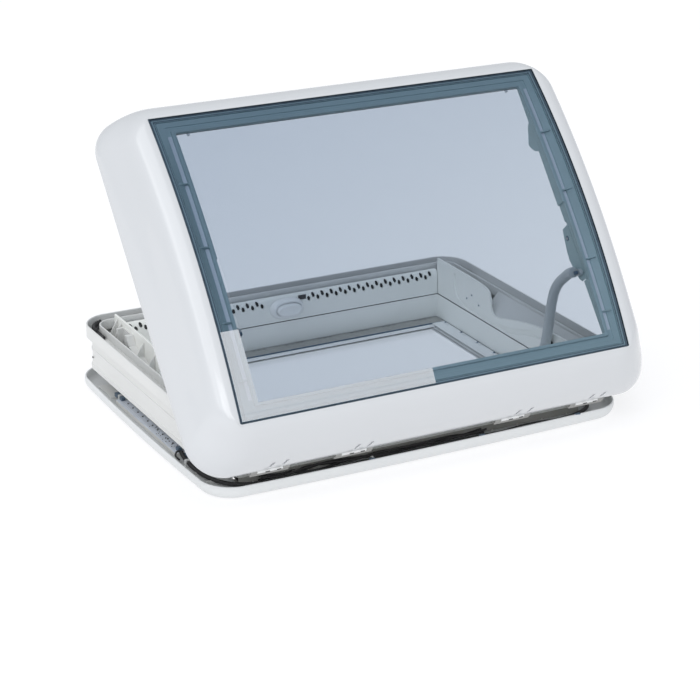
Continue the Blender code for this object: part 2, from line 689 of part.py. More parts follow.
def hinge_base(number, low, high, finish, base):
    """Plate on the roof frame's ring, with a knuckle at each end round the pin."""
    wall_y = -(COLLAR_Y / 2 - 9.5) - GAP
    front = HINGE_Y + KNUCKLE_RADIUS
    nose = [(HINGE_Y + a, HINGE_Z + b) for a, b in circle((0, 0), KNUCKLE_RADIUS, 12, math.pi / 2)[:7]]
    outline = nose + [(HINGE_Y, 41.0), (wall_y, 41.0), (wall_y, 60.0), (wall_y - 2.5, 60.0),
                      (wall_y - 2.5, 50.0)]
    foot = solid("hinge_base_" + number, *prism(outline, "X", low, high), finish["hinge_white"], base)
    profile = ((low - 1, PIN_RADIUS + 0.25), (high + 1, PIN_RADIUS + 0.25))
    combine(foot, turned_x(profile, (HINGE_Y, HINGE_Z), 10), "DIFFERENCE")
    room = (HINGE_Y - 10, front + 3.9)
    notch = block((low + KNUCKLE_LENGTH, high - KNUCKLE_LENGTH), room, (43.6, 70))
    combine(foot, notch, "DIFFERENCE")


def hinge_leaf(number, low, high, finish, lid):
    """Leaf that turns on the pin between the knuckles and lies inside the lid's front skin."""
    turn = math.radians(38)
    start = math.radians(80)
    angles = [start + turn * step for step in range(9)]
    nose = [(KNUCKLE_RADIUS * math.cos(a), KNUCKLE_RADIUS * math.sin(a)) for a in angles]
    outline = nose + [(4.9, 6.5), (9.6, 24.0), (14.6, 38.0), (12.2, 39.0), (6.8, 24.5), (3.0, 8.4)]
    leaf = solid("hinge_leaf_" + number, *prism(outline, "X", low, high), finish["hinge_white"], lid)
    profile = ((low - 1, PIN_RADIUS + 0.25), (high + 1, PIN_RADIUS + 0.25))
    combine(leaf, turned_x(profile, (0, 0), 10), "DIFFERENCE")


def build_hinges(finish, base, lid):
    """Four hinges: a base with two knuckles, a leaf inside the lid's rim and a pin."""
    for index, centre in enumerate(HINGE_CENTRES):
        number = str(index + 1)
        low = centre - HINGE_LENGTH / 2
        high = centre + HINGE_LENGTH / 2
        leaf_end = KNUCKLE_LENGTH + 0.4
        hinge_base(number, low, high, finish, base)
        hinge_leaf(number, low + leaf_end, high - leaf_end, finish, lid)
        pin = turned_x(((low - 1.5, PIN_RADIUS), (high + 1.5, PIN_RADIUS)), (0, 0), 10)
        solid("hinge_pin_" + number, *pin, finish["steel"], lid)


# ---------------------------------------------------------------- bow


def bow_route():
    """Middle of the bow: right arm down from its end fitting, across the crossbar, up the left arm."""
    arm = ((BOW_X, -222.3, 253.6), (BOW_X, -212, 249), (BOW_X, -197, 237), (BOW_X, -180, 221),
           (BOW_X, -168, 202), (BOW_X, -162, 182), (BOW_X, -157, 155), (BOW_X, -149, 105),
           (BOW_X - 6, -147, 84), (BOW_X - 24, -146, 71))
    crossbar = ((250, -145, 68), (80, -145, 68))
    half = arm + crossbar
    mirrored = tuple((-x, y, z) for x, y, z in reversed(half))
    return smooth_route(half + mirrored, 2)


def build_bow(finish, bow):
    """The U-shaped tube, an eye fitting on each upper end and a slide pad at each foot."""
    pivot = Vector((0, *BOW_PIVOT))
    route = [point - pivot for point in bow_route()]
    solid("bow_tube", *tube(route, BOW_RADIUS, 10), finish["bow_grey"], bow)
    outline = circle((0, 0), 6.2, 9, math.radians(35))[:7] + [(4.6, -6.6), (7.0, 4.2)]
    foot = Vector(BOW_FOOT) - Vector(BOW_PIVOT)
    for side, sign in (("left", -1), ("right", 1)):
        shape = prism(outline, "X", sign * 318.0, sign * 324.3)
        fitting = solid(side + "_bow_end", *shape, finish["bow_grey"], bow)
        hole = turned_x(((sign * 310.0, 4.1), (sign * 335.0, 4.1)), (0, 0), 10)
        combine(fitting, hole, "DIFFERENCE")
        profile = ((sign * (BOW_X + BOW_RADIUS + GAP), 7.0), (sign * (PANEL_INNER_X - 1.0), 6.0))
        solid(side + "_bow_foot", *turned_x(profile, foot, 10), finish["rubber_black"], bow)


def main():
    """Clear the scene and build the rooflight."""
    for old in list(bpy.data.objects):
        bpy.data.objects.remove(old)
    finish = make_materials()
    base = empty("base_frame", (0, BASE_SHIFT_Y, 0))
    lid = empty("lid_frame", (0, HINGE_Y, HINGE_Z), LID_OPEN_DEG, base)
    bow = empty("bow_frame", (0, *BOW_PIVOT), 0.0, base)
    button_frame = empty("button_frame", (BUTTON_X, BUTTON_REST_Y, BUTTON_Z), 0.0, base)
    blind_frame = empty("blind_frame", (0, BAR_REST_Y, BAR_REST_Z["blind"]), 0.0, base)
    screen_frame = empty("flyscreen_frame", (0, -BAR_REST_Y, BAR_REST_Z["flyscreen"]), 0.0, base)
    build_trim_frame(finish, base)
    build_liner(finish, base)
    build_lights(finish, base)
    build_wiring(finish, base)
    build_roof_frame(finish, base)
    build_rim_foam(finish, base)
    build_side_panels(finish, base)
    build_front_wall(finish, base)
    build_vent_strip(finish, base)
    build_button(finish, base, button_frame)
    build_tracks(finish, base)
    build_blinds(finish, base, blind_frame, screen_frame)
    build_lid_shell(finish, lid)
    build_glazing(finish, lid)
    build_inner_frame(finish, lid)
    build_lid_seal(finish, lid)
    build_lid_fittings(finish, lid)
    build_hinges(finish, base, lid)
    build_bow(finish, bow)


main()
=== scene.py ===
"""Looks of a caravan rooflight (roof vent cover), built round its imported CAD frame.

Lengths are in millimetres and are turned into metres when a mesh is made.  Points are given in one of
two frames.  The base frame has its origin at the middle of the roof opening, on the room side.  The
lid's frame is (x, v, w): v runs from the lid's front rim to its back and w is the height above the rim.
"""
import json
import math
import random

import bmesh
import bpy
from mathutils import Matrix, Vector

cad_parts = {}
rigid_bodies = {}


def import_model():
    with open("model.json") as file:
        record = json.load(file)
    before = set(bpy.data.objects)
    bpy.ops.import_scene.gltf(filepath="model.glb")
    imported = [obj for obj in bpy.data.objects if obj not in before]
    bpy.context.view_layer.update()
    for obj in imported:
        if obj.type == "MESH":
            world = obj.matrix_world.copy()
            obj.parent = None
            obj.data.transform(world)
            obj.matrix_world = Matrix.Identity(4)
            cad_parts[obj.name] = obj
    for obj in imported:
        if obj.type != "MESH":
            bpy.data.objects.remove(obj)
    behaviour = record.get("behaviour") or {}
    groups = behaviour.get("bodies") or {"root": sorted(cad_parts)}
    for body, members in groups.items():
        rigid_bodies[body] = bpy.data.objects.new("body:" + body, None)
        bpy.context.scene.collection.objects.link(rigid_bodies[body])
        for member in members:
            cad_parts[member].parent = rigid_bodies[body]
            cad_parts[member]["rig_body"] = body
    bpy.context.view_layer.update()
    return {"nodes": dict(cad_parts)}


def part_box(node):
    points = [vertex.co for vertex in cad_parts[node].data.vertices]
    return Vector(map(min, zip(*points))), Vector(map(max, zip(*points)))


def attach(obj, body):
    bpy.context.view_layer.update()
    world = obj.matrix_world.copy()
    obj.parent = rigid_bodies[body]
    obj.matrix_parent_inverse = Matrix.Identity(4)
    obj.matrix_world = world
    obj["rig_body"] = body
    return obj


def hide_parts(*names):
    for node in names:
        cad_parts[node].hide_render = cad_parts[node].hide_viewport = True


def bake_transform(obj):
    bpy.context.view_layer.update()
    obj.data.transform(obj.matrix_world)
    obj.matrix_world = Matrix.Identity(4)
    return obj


MM = 0.001
GAP = 0.3

# sizes that the CAD part has too, in millimetres
LID_OPEN_DEG = 50.46
RIM_V = -2.0
RIM_W = 5.0
LID_DEPTH = 619.5
RIM_RAKE = 8.0
GLASS_X = 361.75
GLASS_FRONT = 58.7
GLASS_BACK = 578.9
GLASS_TOP = 83.3
LID_CAMBER = 24.0
APERTURE_X = 322.0
APERTURE_FRONT = 88.7
APERTURE_BACK = 547.7
FRAME_UNDERSIDE = 78.0
SEAM_Z = 62.0
WALL = 3.0
COLLAR_X = 771.0
COLLAR_Y = 571.0
COLLAR_CORNER = 50.0
COLLAR_TOP = 121.0
TRIM_CORNER = 52.0
TRIM_BOW = 7.0
TRIM_HEIGHT = 24.0
RING_INSET = 9.5
PANEL_X = 327.0
PANEL_BACK = 331.0
CLOTH_X = 321.0
LINER_X = 326.0
LINER_Y = 243.0
HINGE_CENTRES = (-297.5, -147.5, 152.5, 300.0)
HINGE_LENGTH = 68.0
VENT_PITCH = 19.1
BUTTON_X = 5.0
BUTTON_Z = 88.0
BOW_X = 315.0
BOW_RADIUS = 9.0
BOW_PIVOT = (-231.0, 255.5)
BOW_FOOT = (-148.0, 97.0)

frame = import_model()
BODY_OF = {name: node["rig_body"] for name, node in frame["nodes"].items()}
SLOT_OF = {name: node.data.materials[0].name for name, node in frame["nodes"].items()}


def box_of(node):
    """Low and high corners of a CAD node's box, in millimetres."""
    return [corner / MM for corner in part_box(node)]


def middle(node):
    """Centre of a CAD node's box, in millimetres."""
    low, high = box_of(node)
    return (low + high) / 2


SHIFT_Y = middle("trim_frame").y
HINGE_Y = middle("hinge_pin_1").y - SHIFT_Y
HINGE_Z = middle("hinge_pin_1").z

# ---- places


def at_base(x, y, z):
    """A point of the base frame, in metres in the row frame."""
    return Vector((x, y + SHIFT_Y, z)) * MM


def at_lid(x, v, w):
    """A point of the open lid's frame, in metres in the row frame."""
    angle = math.radians(LID_OPEN_DEG)
    along = v + RIM_V
    above = w + RIM_W
    y = HINGE_Y + along * math.cos(angle) - above * math.sin(angle)
    z = HINGE_Z + along * math.sin(angle) + above * math.cos(angle)
    return at_base(x, y, z)


def camber(v):
    """Rise of the lid's top at a distance v from the front rim."""
    centre = (GLASS_FRONT + GLASS_BACK) / 2
    half = (GLASS_BACK - GLASS_FRONT) / 2
    return LID_CAMBER * (1 - ((v - centre) / half) ** 2)


# ---- camera, lights and floor

CAMERA_PLACE = (-1671.1, -3094.5, 1483.3)
CAMERA_TARGET = (7.8, -0.4, 73.2)
CAMERA_ROLL_DEG = 0.47


def object_from(name, data):
    """Link a new object for a mesh, a light or a camera."""
    result = bpy.data.objects.new(name, data)
    bpy.context.scene.collection.objects.link(result)
    return result


def aim(thing, target):
    """Turn a camera or a light towards a point."""
    thing.rotation_mode = "QUATERNION"
    thing.rotation_quaternion = (Vector(target) - thing.location).to_track_quat("-Z", "Y")


def make_camera():
    """Camera in front of and to the left of the hinge side, looking down a little."""
    data = bpy.data.cameras.new("camera")
    data.sensor_width = 36.0
    data.lens = 111.9
    data.shift_x = -0.0009
    data.shift_y = 0.0126
    data.clip_end = 100.0
    camera = object_from("camera", data)
    camera.location = at_base(*CAMERA_PLACE)
    aim(camera, at_base(*CAMERA_TARGET))
    roll = Matrix.Rotation(math.radians(CAMERA_ROLL_DEG), 4, "Z").to_quaternion()
    camera.rotation_quaternion = camera.rotation_quaternion @ roll
    bpy.context.scene.camera = camera


def hang_light(data, location, target, power):
    """Put a light in its place and turn it towards a point."""
    data.energy = power
    light = object_from(data.name, data)
    light.location = location
    aim(light, target)


def make_studio():
    """White floor, even white surroundings, a wide sun from the front left and two soft boxes."""
    world = bpy.data.worlds.new("studio")
    world.use_nodes = True
    background = world.node_tree.nodes["Background"]
    background.inputs["Color"].default_value = (0.93, 0.96, 1.0, 1.0)
    background.inputs["Strength"].default_value = 0.66
    bpy.context.scene.world = world
    sun = bpy.data.lights.new("overhead", "SUN")
    sun.angle = math.radians(75)
    hang_light(sun, (-2.2, -1.6, 4.0), (0.0, 0.0, 0.0), 1.3)
    for name, place, target, size, power in (
            ("left_box", (-3.2, -0.6, 2.4), (0.0, 0.0, 0.3), 2.0, 8.0),
            ("front_box", (-0.9, -3.0, 1.5), (0.0, 0.1, 0.1), 1.5, 16.0)):
        box = bpy.data.lights.new(name, "AREA")
        box.shape = "RECTANGLE"
        box.size = size
        box.size_y = size
        hang_light(box, place, target, power)
    make_floor()
    view = bpy.context.scene.view_settings
    view.view_transform = "Standard"
    view.look = "None"


def make_floor():
    """A wide plain floor, bright enough that only the soft shadow round the object shows on it."""
    mesh = bpy.data.meshes.new("floor")
    half = 30.0
    corners = [(-half, -half, 0), (half, -half, 0), (half, half, 0), (-half, half, 0)]
    mesh.from_pydata(corners, [], [(0, 1, 2, 3)])
    floor = object_from("floor", mesh)
    floor.location.z = -0.0004
    finish = Nodes("floor_white")
    finish.put(Base_Color=(0.36, 0.36, 0.37, 1.0), Roughness=0.6, Specular_IOR_Level=0.1,
               Emission_Color=(1.0, 1.0, 1.0, 1.0), Emission_Strength=0.66)
    mesh.materials.append(finish.material)


# ---- materials


def set_inputs(node, values):
    """Set constant inputs of a shader node by name; underscores stand for spaces."""
    for key, value in values.items():
        node.inputs[key.replace("_", " ")].default_value = value


class Nodes:
    """Short names for building one material's node tree."""

    def __init__(self, name):
        self.material = bpy.data.materials.new(name + "_look")
        self.material.use_nodes = True
        self.tree = self.material.node_tree
        self.shader = self.tree.nodes["Principled BSDF"]
        self.place = self.add("TexCoord").outputs["Object"]

    def put(self, **values):
        """Set constant inputs of the Principled shader."""
        set_inputs(self.shader, values)

    def add(self, kind, **values):
        """A new shader node with some of its inputs set."""
        node = self.tree.nodes.new("ShaderNode" + kind)
        set_inputs(node, values)
        return node

    def link(self, output, target):
        self.tree.links.new(output, target)

    def noise(self, scale, detail=3.0, stretch=None):
        """Noise with features of about 1/scale metres, optionally stretched along the axes."""
        node = self.add("TexNoise", Scale=scale, Detail=detail)
        source = self.place
        if stretch:
            mapping = self.add("Mapping", Scale=stretch)
            self.link(source, mapping.inputs["Vector"])
            source = mapping.outputs["Vector"]
        self.link(source, node.inputs["Vector"])
        return node.outputs["Fac"]

    def ranged(self, source, low, high, start=0.3, stop=0.7):
        """Map a value from start..stop to low..high."""
        node = self.add("MapRange", From_Min=start, From_Max=stop, To_Min=low, To_Max=high)
        self.link(source, node.inputs["Value"])
        return node.outputs["Result"]

    def blend(self, factor, first, second):
        """Mix of two colours."""
        node = self.add("Mix")
        node.data_type = "RGBA"
        self.link(factor, node.inputs[0])
        node.inputs[6].default_value = (*first, 1.0)
        node.inputs[7].default_value = (*second, 1.0)
        return node.outputs[2]

    def paint(self, factor, first, second):
        """Base colour that runs between two colours."""
        self.link(self.blend(factor, first, second), self.shader.inputs["Base Color"])

    def roughen(self, source, low, high):
        """Roughness that runs between two values."""
        self.link(self.ranged(source, low, high), self.shader.inputs["Roughness"])

    def bump(self, height, distance, strength=0.5):
        """Bump on the shader's normal, its distance in metres."""
        node = self.add("Bump", Distance=distance, Strength=strength)
        self.link(height, node.inputs["Height"])
        self.link(node.outputs["Normal"], self.shader.inputs["Normal"])

    def see_through(self, clear):
        """Mix the shader with a transparent one; returns the socket for the shader's own share."""
        mix = self.add("MixShader")
        self.link(clear.outputs[0], mix.inputs[1])
        self.link(self.shader.outputs[0], mix.inputs[2])
        self.link(mix.outputs[0], self.tree.nodes["Material Output"].inputs["Surface"])
        return mix.inputs[0]


def toned(colour, factor):
    """A colour made darker or lighter."""
    return tuple(min(1.0, channel * factor) for channel in colour)


def moulded(nodes, colour, roughness, spread=0.05, grain=900.0, depth=0.00003, coat=0.0):
    """Moulded plastic: slow tone changes, fine grain in the gloss and the surface."""
    slow = nodes.noise(7.0, 2.0)
    fine = nodes.noise(grain, 4.0)
    nodes.paint(slow, toned(colour, 1 - spread), toned(colour, 1 + spread))
    nodes.roughen(fine, roughness * 0.85, roughness * 1.15)
    nodes.bump(fine, depth)
    nodes.put(Coat_Weight=coat, Coat_Roughness=0.05)


def rubber(nodes, colour):
    """Matt black elastomer with a dusty bloom."""
    bloom = nodes.noise(60.0, 5.0)
    nodes.paint(bloom, colour, toned(colour, 2.2))
    nodes.roughen(bloom, 0.5, 0.8)
    nodes.bump(nodes.noise(1400.0, 3.0), 0.00006)


def powder_coat(nodes, colour):
    """Painted metal tube with a faint orange-peel surface."""
    peel = nodes.noise(420.0, 2.0)
    nodes.paint(nodes.noise(12.0), toned(colour, 0.94), toned(colour, 1.05))
    nodes.roughen(peel, 0.28, 0.4)
    nodes.bump(peel, 0.00008, 0.35)
    nodes.put(Coat_Weight=0.25, Coat_Roughness=0.2)


def brushed(nodes, colour):
    """Bright steel with fine lines along X."""
    lines = nodes.noise(900.0, 4.0, (0.02, 1.0, 1.0))
    nodes.paint(lines, toned(colour, 0.8), toned(colour, 1.1))
    nodes.roughen(lines, 0.2, 0.4)
    nodes.put(Metallic=1.0)


def woven(nodes, colour, threads):
    """Cloth of crossed threads, a given number of them to the metre."""
    bands = []
    for direction in ("X", "Y"):
        wave = nodes.add("TexWave", Scale=threads / 6.0, Distortion=0.4)
        wave.bands_direction = direction
        nodes.link(nodes.place, wave.inputs["Vector"])
        bands.append(wave.outputs["Fac"])
    weave = nodes.add("Math")
    weave.operation = "MAXIMUM"
    nodes.link(bands[0], weave.inputs[0])
    nodes.link(bands[1], weave.inputs[1])
    nodes.paint(weave.outputs[0], toned(colour, 0.55), colour)
    nodes.bump(weave.outputs[0], 0.0001)
    nodes.put(Roughness=0.85, Sheen_Weight=0.3)


def clear_sheet(nodes, low, high, gloss):
    """Acrylic sheet: tints what lies behind it, and reflects; the tint deepens a little towards the top and
    the left, a painted shade for the dimmer light seen through the pane there.
    """
    # blend of the two tints by height and towards -x: painted shade across the pane
    slope = nodes.add("VectorMath")
    slope.operation = "DOT_PRODUCT"
    slope.inputs[1].default_value = (-0.4, 0.0, 1.0)
    nodes.link(nodes.place, slope.inputs[0])
    tint_and_painted_shade = nodes.blend(nodes.ranged(slope.outputs["Value"], 0.0, 1.0, 0.05, 0.62), low, high)
    clear = nodes.add("BsdfTransparent")
    nodes.link(tint_and_painted_shade, clear.inputs["Color"])
    nodes.roughen(nodes.noise(30.0), 0.01, 0.04)
    nodes.put(Base_Color=(0.02, 0.03, 0.035, 1.0), IOR=1.49, Specular_IOR_Level=0.5)
    fresnel = nodes.add("Fresnel", IOR=gloss)
    nodes.link(fresnel.outputs[0], nodes.see_through(clear))


def painted_reflection_sheet(nodes, colour, cover):
    """Painted reflection: a pale see-through sheet; part of the light goes straight through, the rest is
    scattered white.
    """
    nodes.paint(nodes.noise(40.0, 2.0), toned(colour, 0.98), colour)
    nodes.put(Roughness=0.25)
    nodes.see_through(nodes.add("BsdfTransparent")).default_value = cover


def circuit_board(nodes, colour):
    """Pale blue coated board with faint copper tracks along it."""
    tracks = nodes.noise(260.0, 1.0, (1.0, 0.05, 1.0))
    nodes.paint(nodes.ranged(tracks, 0.0, 1.0, 0.48, 0.56), colour, toned(colour, 0.9))
    nodes.roughen(tracks, 0.25, 0.45)
    nodes.bump(tracks, 0.00005)
    nodes.put(Coat_Weight=0.3)


# every material, by the name of its slot in the record, and a few for small extra pieces
LOOKS = {
    "lid_white": (moulded, (0.60, 0.615, 0.635), 0.22, 0.015, 500.0, 0.00001, 0.6),
    "frame_white": (moulded, (0.70, 0.705, 0.695), 0.38, 0.03),
    "panel_grey": (moulded, (0.90, 0.91, 0.88), 0.45, 0.03),
    # the outer pane's tint, running to the darker second tone towards the top left as painted shade
    "tinted_pane": (clear_sheet, (0.765, 0.80, 0.845), (0.67, 0.715, 0.775), 1.25),
    "clear_pane": (clear_sheet, (0.985, 0.99, 0.99), (0.985, 0.99, 0.99), 1.1),
    "inner_frame_grey": (moulded, (0.40, 0.53, 0.55), 0.35, 0.06),
    "rubber_black": (rubber, (0.02, 0.02, 0.021)),
    "bow_grey": (powder_coat, (0.50, 0.54, 0.56)),
    "hinge_white": (moulded, (0.74, 0.75, 0.75), 0.35),
    "steel": (brushed, (0.62, 0.62, 0.62)),
    "track_grey": (moulded, (0.36, 0.36, 0.34), 0.45),
    "bar_white": (moulded, (0.86, 0.87, 0.87), 0.3),
    "board_blue": (circuit_board, (0.78, 0.83, 0.92)),
    "diffuser_white": (moulded, (0.82, 0.82, 0.80), 0.5),
    "fabric_silver": (woven, (0.55, 0.56, 0.57), 1800.0),
    "mesh_black": (woven, (0.06, 0.06, 0.06), 900.0),
    # near black for slots, a recess, a seam and the vent holes' backs: painted shade of their insides
    "painted_gap_shade": (rubber, (0.035, 0.035, 0.037)),
    "gasket_grey": (rubber, (0.12, 0.15, 0.17)),
    # lighter copy of the inner frame's grey: a painted highlight on its channel floor
    "painted_highlight_grey": (moulded, (0.70, 0.76, 0.82), 0.3),
    # pale see-through sheet that paints a reflection over the lid frame's front left corner
    "painted_reflection_white": (painted_reflection_sheet, (0.90, 0.91, 0.93), 0.27),
    "clip_blue": (moulded, (0.10, 0.15, 0.21), 0.35),
    # a slightly cooler copy of frame_white for the trim frame only: painted shade on its face
    "trim_shaded_white": (moulded, (0.69, 0.705, 0.71), 0.38, 0.03),
    "housing_grey": (moulded, (0.30, 0.30, 0.29), 0.5),
}


def made(name, make, *values):
    """One material of the table."""
    nodes = Nodes(name)
    make(nodes, *values)
    return nodes.material


FINISH = {name: made(name, *look) for name, look in LOOKS.items()}

# ---- mesh helpers


def closed_mesh(name, shape, place):
    """A mesh from (vertices, faces) in millimetres, placed, with its faces turned outward."""
    vertices, faces = shape
    mesh = bpy.data.meshes.new(name)
    mesh.from_pydata([place(*point) for point in vertices], [], faces)
    work = bmesh.new()
    work.from_mesh(mesh)
    bmesh.ops.recalc_face_normals(work, faces=work.faces)
    work.to_mesh(mesh)
    work.free()
    return mesh


def carved(mesh, shapes, place):
    """The mesh with each shape cut away."""
    for shape in shapes:
        target = object_from("target", mesh)
        tool = object_from("tool", closed_mesh("tool", shape, place))
        step = target.modifiers.new("cut", "BOOLEAN")
        step.operation = "DIFFERENCE"
        step.object = tool
        step.solver = "EXACT"
        graph = bpy.context.evaluated_depsgraph_get()
        mesh = bpy.data.meshes.new_from_object(target.evaluated_get(graph))
        bpy.data.objects.remove(target)
        bpy.data.objects.remove(tool)
    return mesh


def finished(name, mesh, slot, body, rounding=0.0, angle=35.0, stands_for=None, look=None, segments=2):
    """Make a piece from a mesh: material, rounded edges, smooth shading, body and the node it replaces."""
    mesh.name = name
    mesh.materials.clear()
    mesh.materials.append(FINISH[look or slot])
    mesh.shade_smooth()
    mesh.set_sharp_from_angle(angle=math.radians(angle))
    result = object_from(name, mesh)
    if rounding:
        bevel = result.modifiers.new("rounding", "BEVEL")
        bevel.width = rounding * MM
        bevel.segments = segments
        bevel.limit_method = "ANGLE"
        bevel.angle_limit = math.radians(angle)
        bevel.harden_normals = True
    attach(result, body)
    if stands_for:
        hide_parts(stands_for)
    return result


def piece(name, shape, slot, body="base", cuts=(), **options):
    """Make a piece from a shape or a list of shapes, given in the lid's frame for the lid's pieces."""
    place = at_lid if body == "lid" else at_base
    mesh = closed_mesh(name, joined(shape) if isinstance(shape, list) else shape, place)
    return finished(name, carved(mesh, cuts, place), slot, body, **options)


def fine(node, shape, **options):
    """A piece that stands for a CAD node, with its slot and on its body."""
    return piece(node + "_fine", shape, SLOT_OF[node], BODY_OF[node], stands_for=node, **options)


def refined(node, rounding, angle=30.0, segments=2, look=None):
    """A copy of a CAD node, its flat faces made whole and its edges rounded, that stands for it."""
    mesh = frame["nodes"][node].data.copy()
    work = bmesh.new()
    work.from_mesh(mesh)
    bmesh.ops.remove_doubles(work, verts=work.verts, dist=1e-6)
    bmesh.ops.dissolve_limit(work, angle_limit=math.radians(0.5), verts=work.verts, edges=work.edges)
    work.to_mesh(mesh)
    work.free()
    if "custom_normal" in mesh.attributes:
        mesh.attributes.remove(mesh.attributes["custom_normal"])
    return finished(node + "_fine", mesh, SLOT_OF[node], BODY_OF[node], rounding, angle,
                    node, look, segments)


def loft(rings, closed):
    """Faces between equal loops of points; closed joins the last loop to the first, else caps both."""
    count = len(rings[0])
    vertices = [point for ring in rings for point in ring]
    faces = []
    spans = len(rings) if closed else len(rings) - 1
    for level in range(spans):
        low = level * count
        high = (level + 1) % len(rings) * count
        for step in range(count):
            after = (step + 1) % count
            faces.append((low + step, low + after, high + after, high + step))
    if not closed:
        faces.append(tuple(reversed(range(count))))
        faces.append(tuple(range(len(vertices) - count, len(vertices))))
    return vertices, faces


AXES = {
    "X": lambda run, a, b: (run, a, b),
    "Y": lambda run, a, b: (a, run, b),
    "Z": lambda run, a, b: (a, b, run),
}


def prism(outline, axis, low, high):
    """An outline in the plane across an axis, extruded from low to high."""
    place = AXES[axis]
    return loft([[place(low, a, b) for a, b in outline], [place(high, a, b) for a, b in outline]], False)


def block(x, y, z):
    """A box from three (low, high) pairs."""
    return prism([(x[0], y[0]), (x[1], y[0]), (x[1], y[1]), (x[0], y[1])], "Z", z[0], z[1])


def circle(centre, radius, sides):
    """Corners of a regular polygon."""
    turn = 2 * math.pi / sides
    angles = [turn * i for i in range(sides)]
    return [(centre[0] + radius * math.cos(a), centre[1] + radius * math.sin(a)) for a in angles]


def arc(centre, radius_a, radius_b, first, last, steps):
    """Points along an elliptical arc, angles in degrees."""
    result = []
    for step in range(steps + 1):
        angle = math.radians(first + (last - first) * step / steps)
        result.append((centre[0] + radius_a * math.cos(angle), centre[1] + radius_b * math.sin(angle)))
    return result


def turned(profile, axis, centre, sides):
    """A solid turned about a line along an axis; profile lists (place, radius) from end to end."""
    place = AXES[axis]
    rings = [[place(run, a, b) for a, b in circle(centre, radius, sides)] for run, radius in profile]
    return loft(rings, False)


def joined(parts):
    """Several separate bodies as one list of vertices and faces."""
    vertices = []
    faces = []
    for part_vertices, part_faces in parts:
        offset = len(vertices)
        vertices.extend(part_vertices)
        faces.extend(tuple(index + offset for index in face) for face in part_faces)
    return vertices, faces


def curve(rows, steps):
    """Catmull-Rom points from the second row to the last but one; rows are vectors of any length."""
    points = []
    for before, start, end, after in zip(rows, rows[1:], rows[2:], rows[3:]):
        for step in range(steps):
            t = step / steps
            points.append(0.5 * (2 * start + (end - before) * t
                                 + (2 * before - 5 * start + 4 * end - after) * t ** 2
                                 + (3 * start - before - 3 * end + after) * t ** 3))
    return points + [rows[-2]]


def smooth_route(points, steps):
    """A smooth curve through the points, with the given number of steps between each two."""
    points = [Vector(point) for point in points]
    return curve([2 * points[0] - points[1]] + points + [2 * points[-1] - points[-2]], steps)


def headings(route):
    """Direction of travel at each point of a route."""
    last = len(route) - 1
    return [(route[min(i + 1, last)] - route[max(i - 1, 0)]).normalized() for i in range(last + 1)]


def tube(route, radius, sides):
    """A capped round tube along a list of points."""
    route = [Vector(point) for point in route]
    side = None
    rings = []
    for point, tangent in zip(route, headings(route)):
        side = side or tangent.orthogonal().normalized()
        side = (side - tangent * side.dot(tangent)).normalized()
        other = tangent.cross(side)
        rings.append([tuple(point + side * a + other * b) for a, b in circle((0, 0), radius, sides)])
    return loft(rings, False)


def rounded_loop(half_x, low_y, high_y, radius, corner_steps, side_steps, end_steps):
    """A rounded rectangle, from the +X side's start round through +Y, -X and -Y."""
    corners = ((1, high_y - radius, 0), (-1, high_y - radius, 1),
               (-1, low_y + radius, 2), (1, low_y + radius, 3))
    loop = []
    for index, (sign, centre_y, quarter) in enumerate(corners):
        centre_x = sign * (half_x - radius)
        for step in range(corner_steps + 1):
            angle = math.pi / 2 * (quarter + step / corner_steps)
            loop.append((centre_x + radius * math.cos(angle), centre_y + radius * math.sin(angle)))
        next_sign, next_y, _ = corners[(index + 1) % 4]
        steps = end_steps if quarter in (0, 2) else side_steps
        start = Vector(loop[-1])
        angle = math.pi / 2 * (quarter + 1)
        end = Vector((next_sign * (half_x - radius) + radius * math.cos(angle),
                      next_y + radius * math.sin(angle)))
        loop.extend(tuple(start.lerp(end, step / steps)) for step in range(1, steps))
    return loop


def swept_frame(profile, size_x, size_y, corner, corner_steps, side_steps=1, bow=0.0):
    """A profile of (inset, z[, own corner radius]) swept round a rounded rectangle whose sides may swell."""
    deepest = max(point[0] for point in profile)
    rings = []
    for inset, z, *own_radius in profile:
        half_x = size_x / 2 - inset
        half_y = size_y / 2 - inset
        radius = own_radius[0] if own_radius else corner - inset
        fade = 1 - inset / deepest if bow else 0.0
        loop = rounded_loop(half_x, -half_y, half_y, radius, corner_steps, side_steps, side_steps)
        ring = []
        for x, y in loop:
            swell_x = bow * fade * x / half_x * (1 - (y / half_y) ** 2)
            swell_y = bow * fade * y / half_y * (1 - (x / half_x) ** 2)
            ring.append((x + swell_x, y + swell_y, z))
        rings.append(ring)
    return loft(rings, True)


def strip_along(route, half_width):
    """Outline of a band of constant width along a flat route."""
    left = []
    right = []
    for point, ahead in zip(route, headings(route)):
        across = Vector((-ahead.y, ahead.x)) * half_width
        left.append(tuple(point + across))
        right.append(tuple(point - across))
    return left + list(reversed(right))


def mirrored(pair, sign):
    """A (low, high) pair on the side given by sign."""
    return tuple(sorted((sign * pair[0], sign * pair[1])))


def two_blocks(x_pair, y, z):
    """The same box on the left and on the right."""
    return [block(mirrored(x_pair, sign), y, z) for sign in (-1, 1)]


SIDES = (("left", -1), ("right", 1))

# ---- room side frame


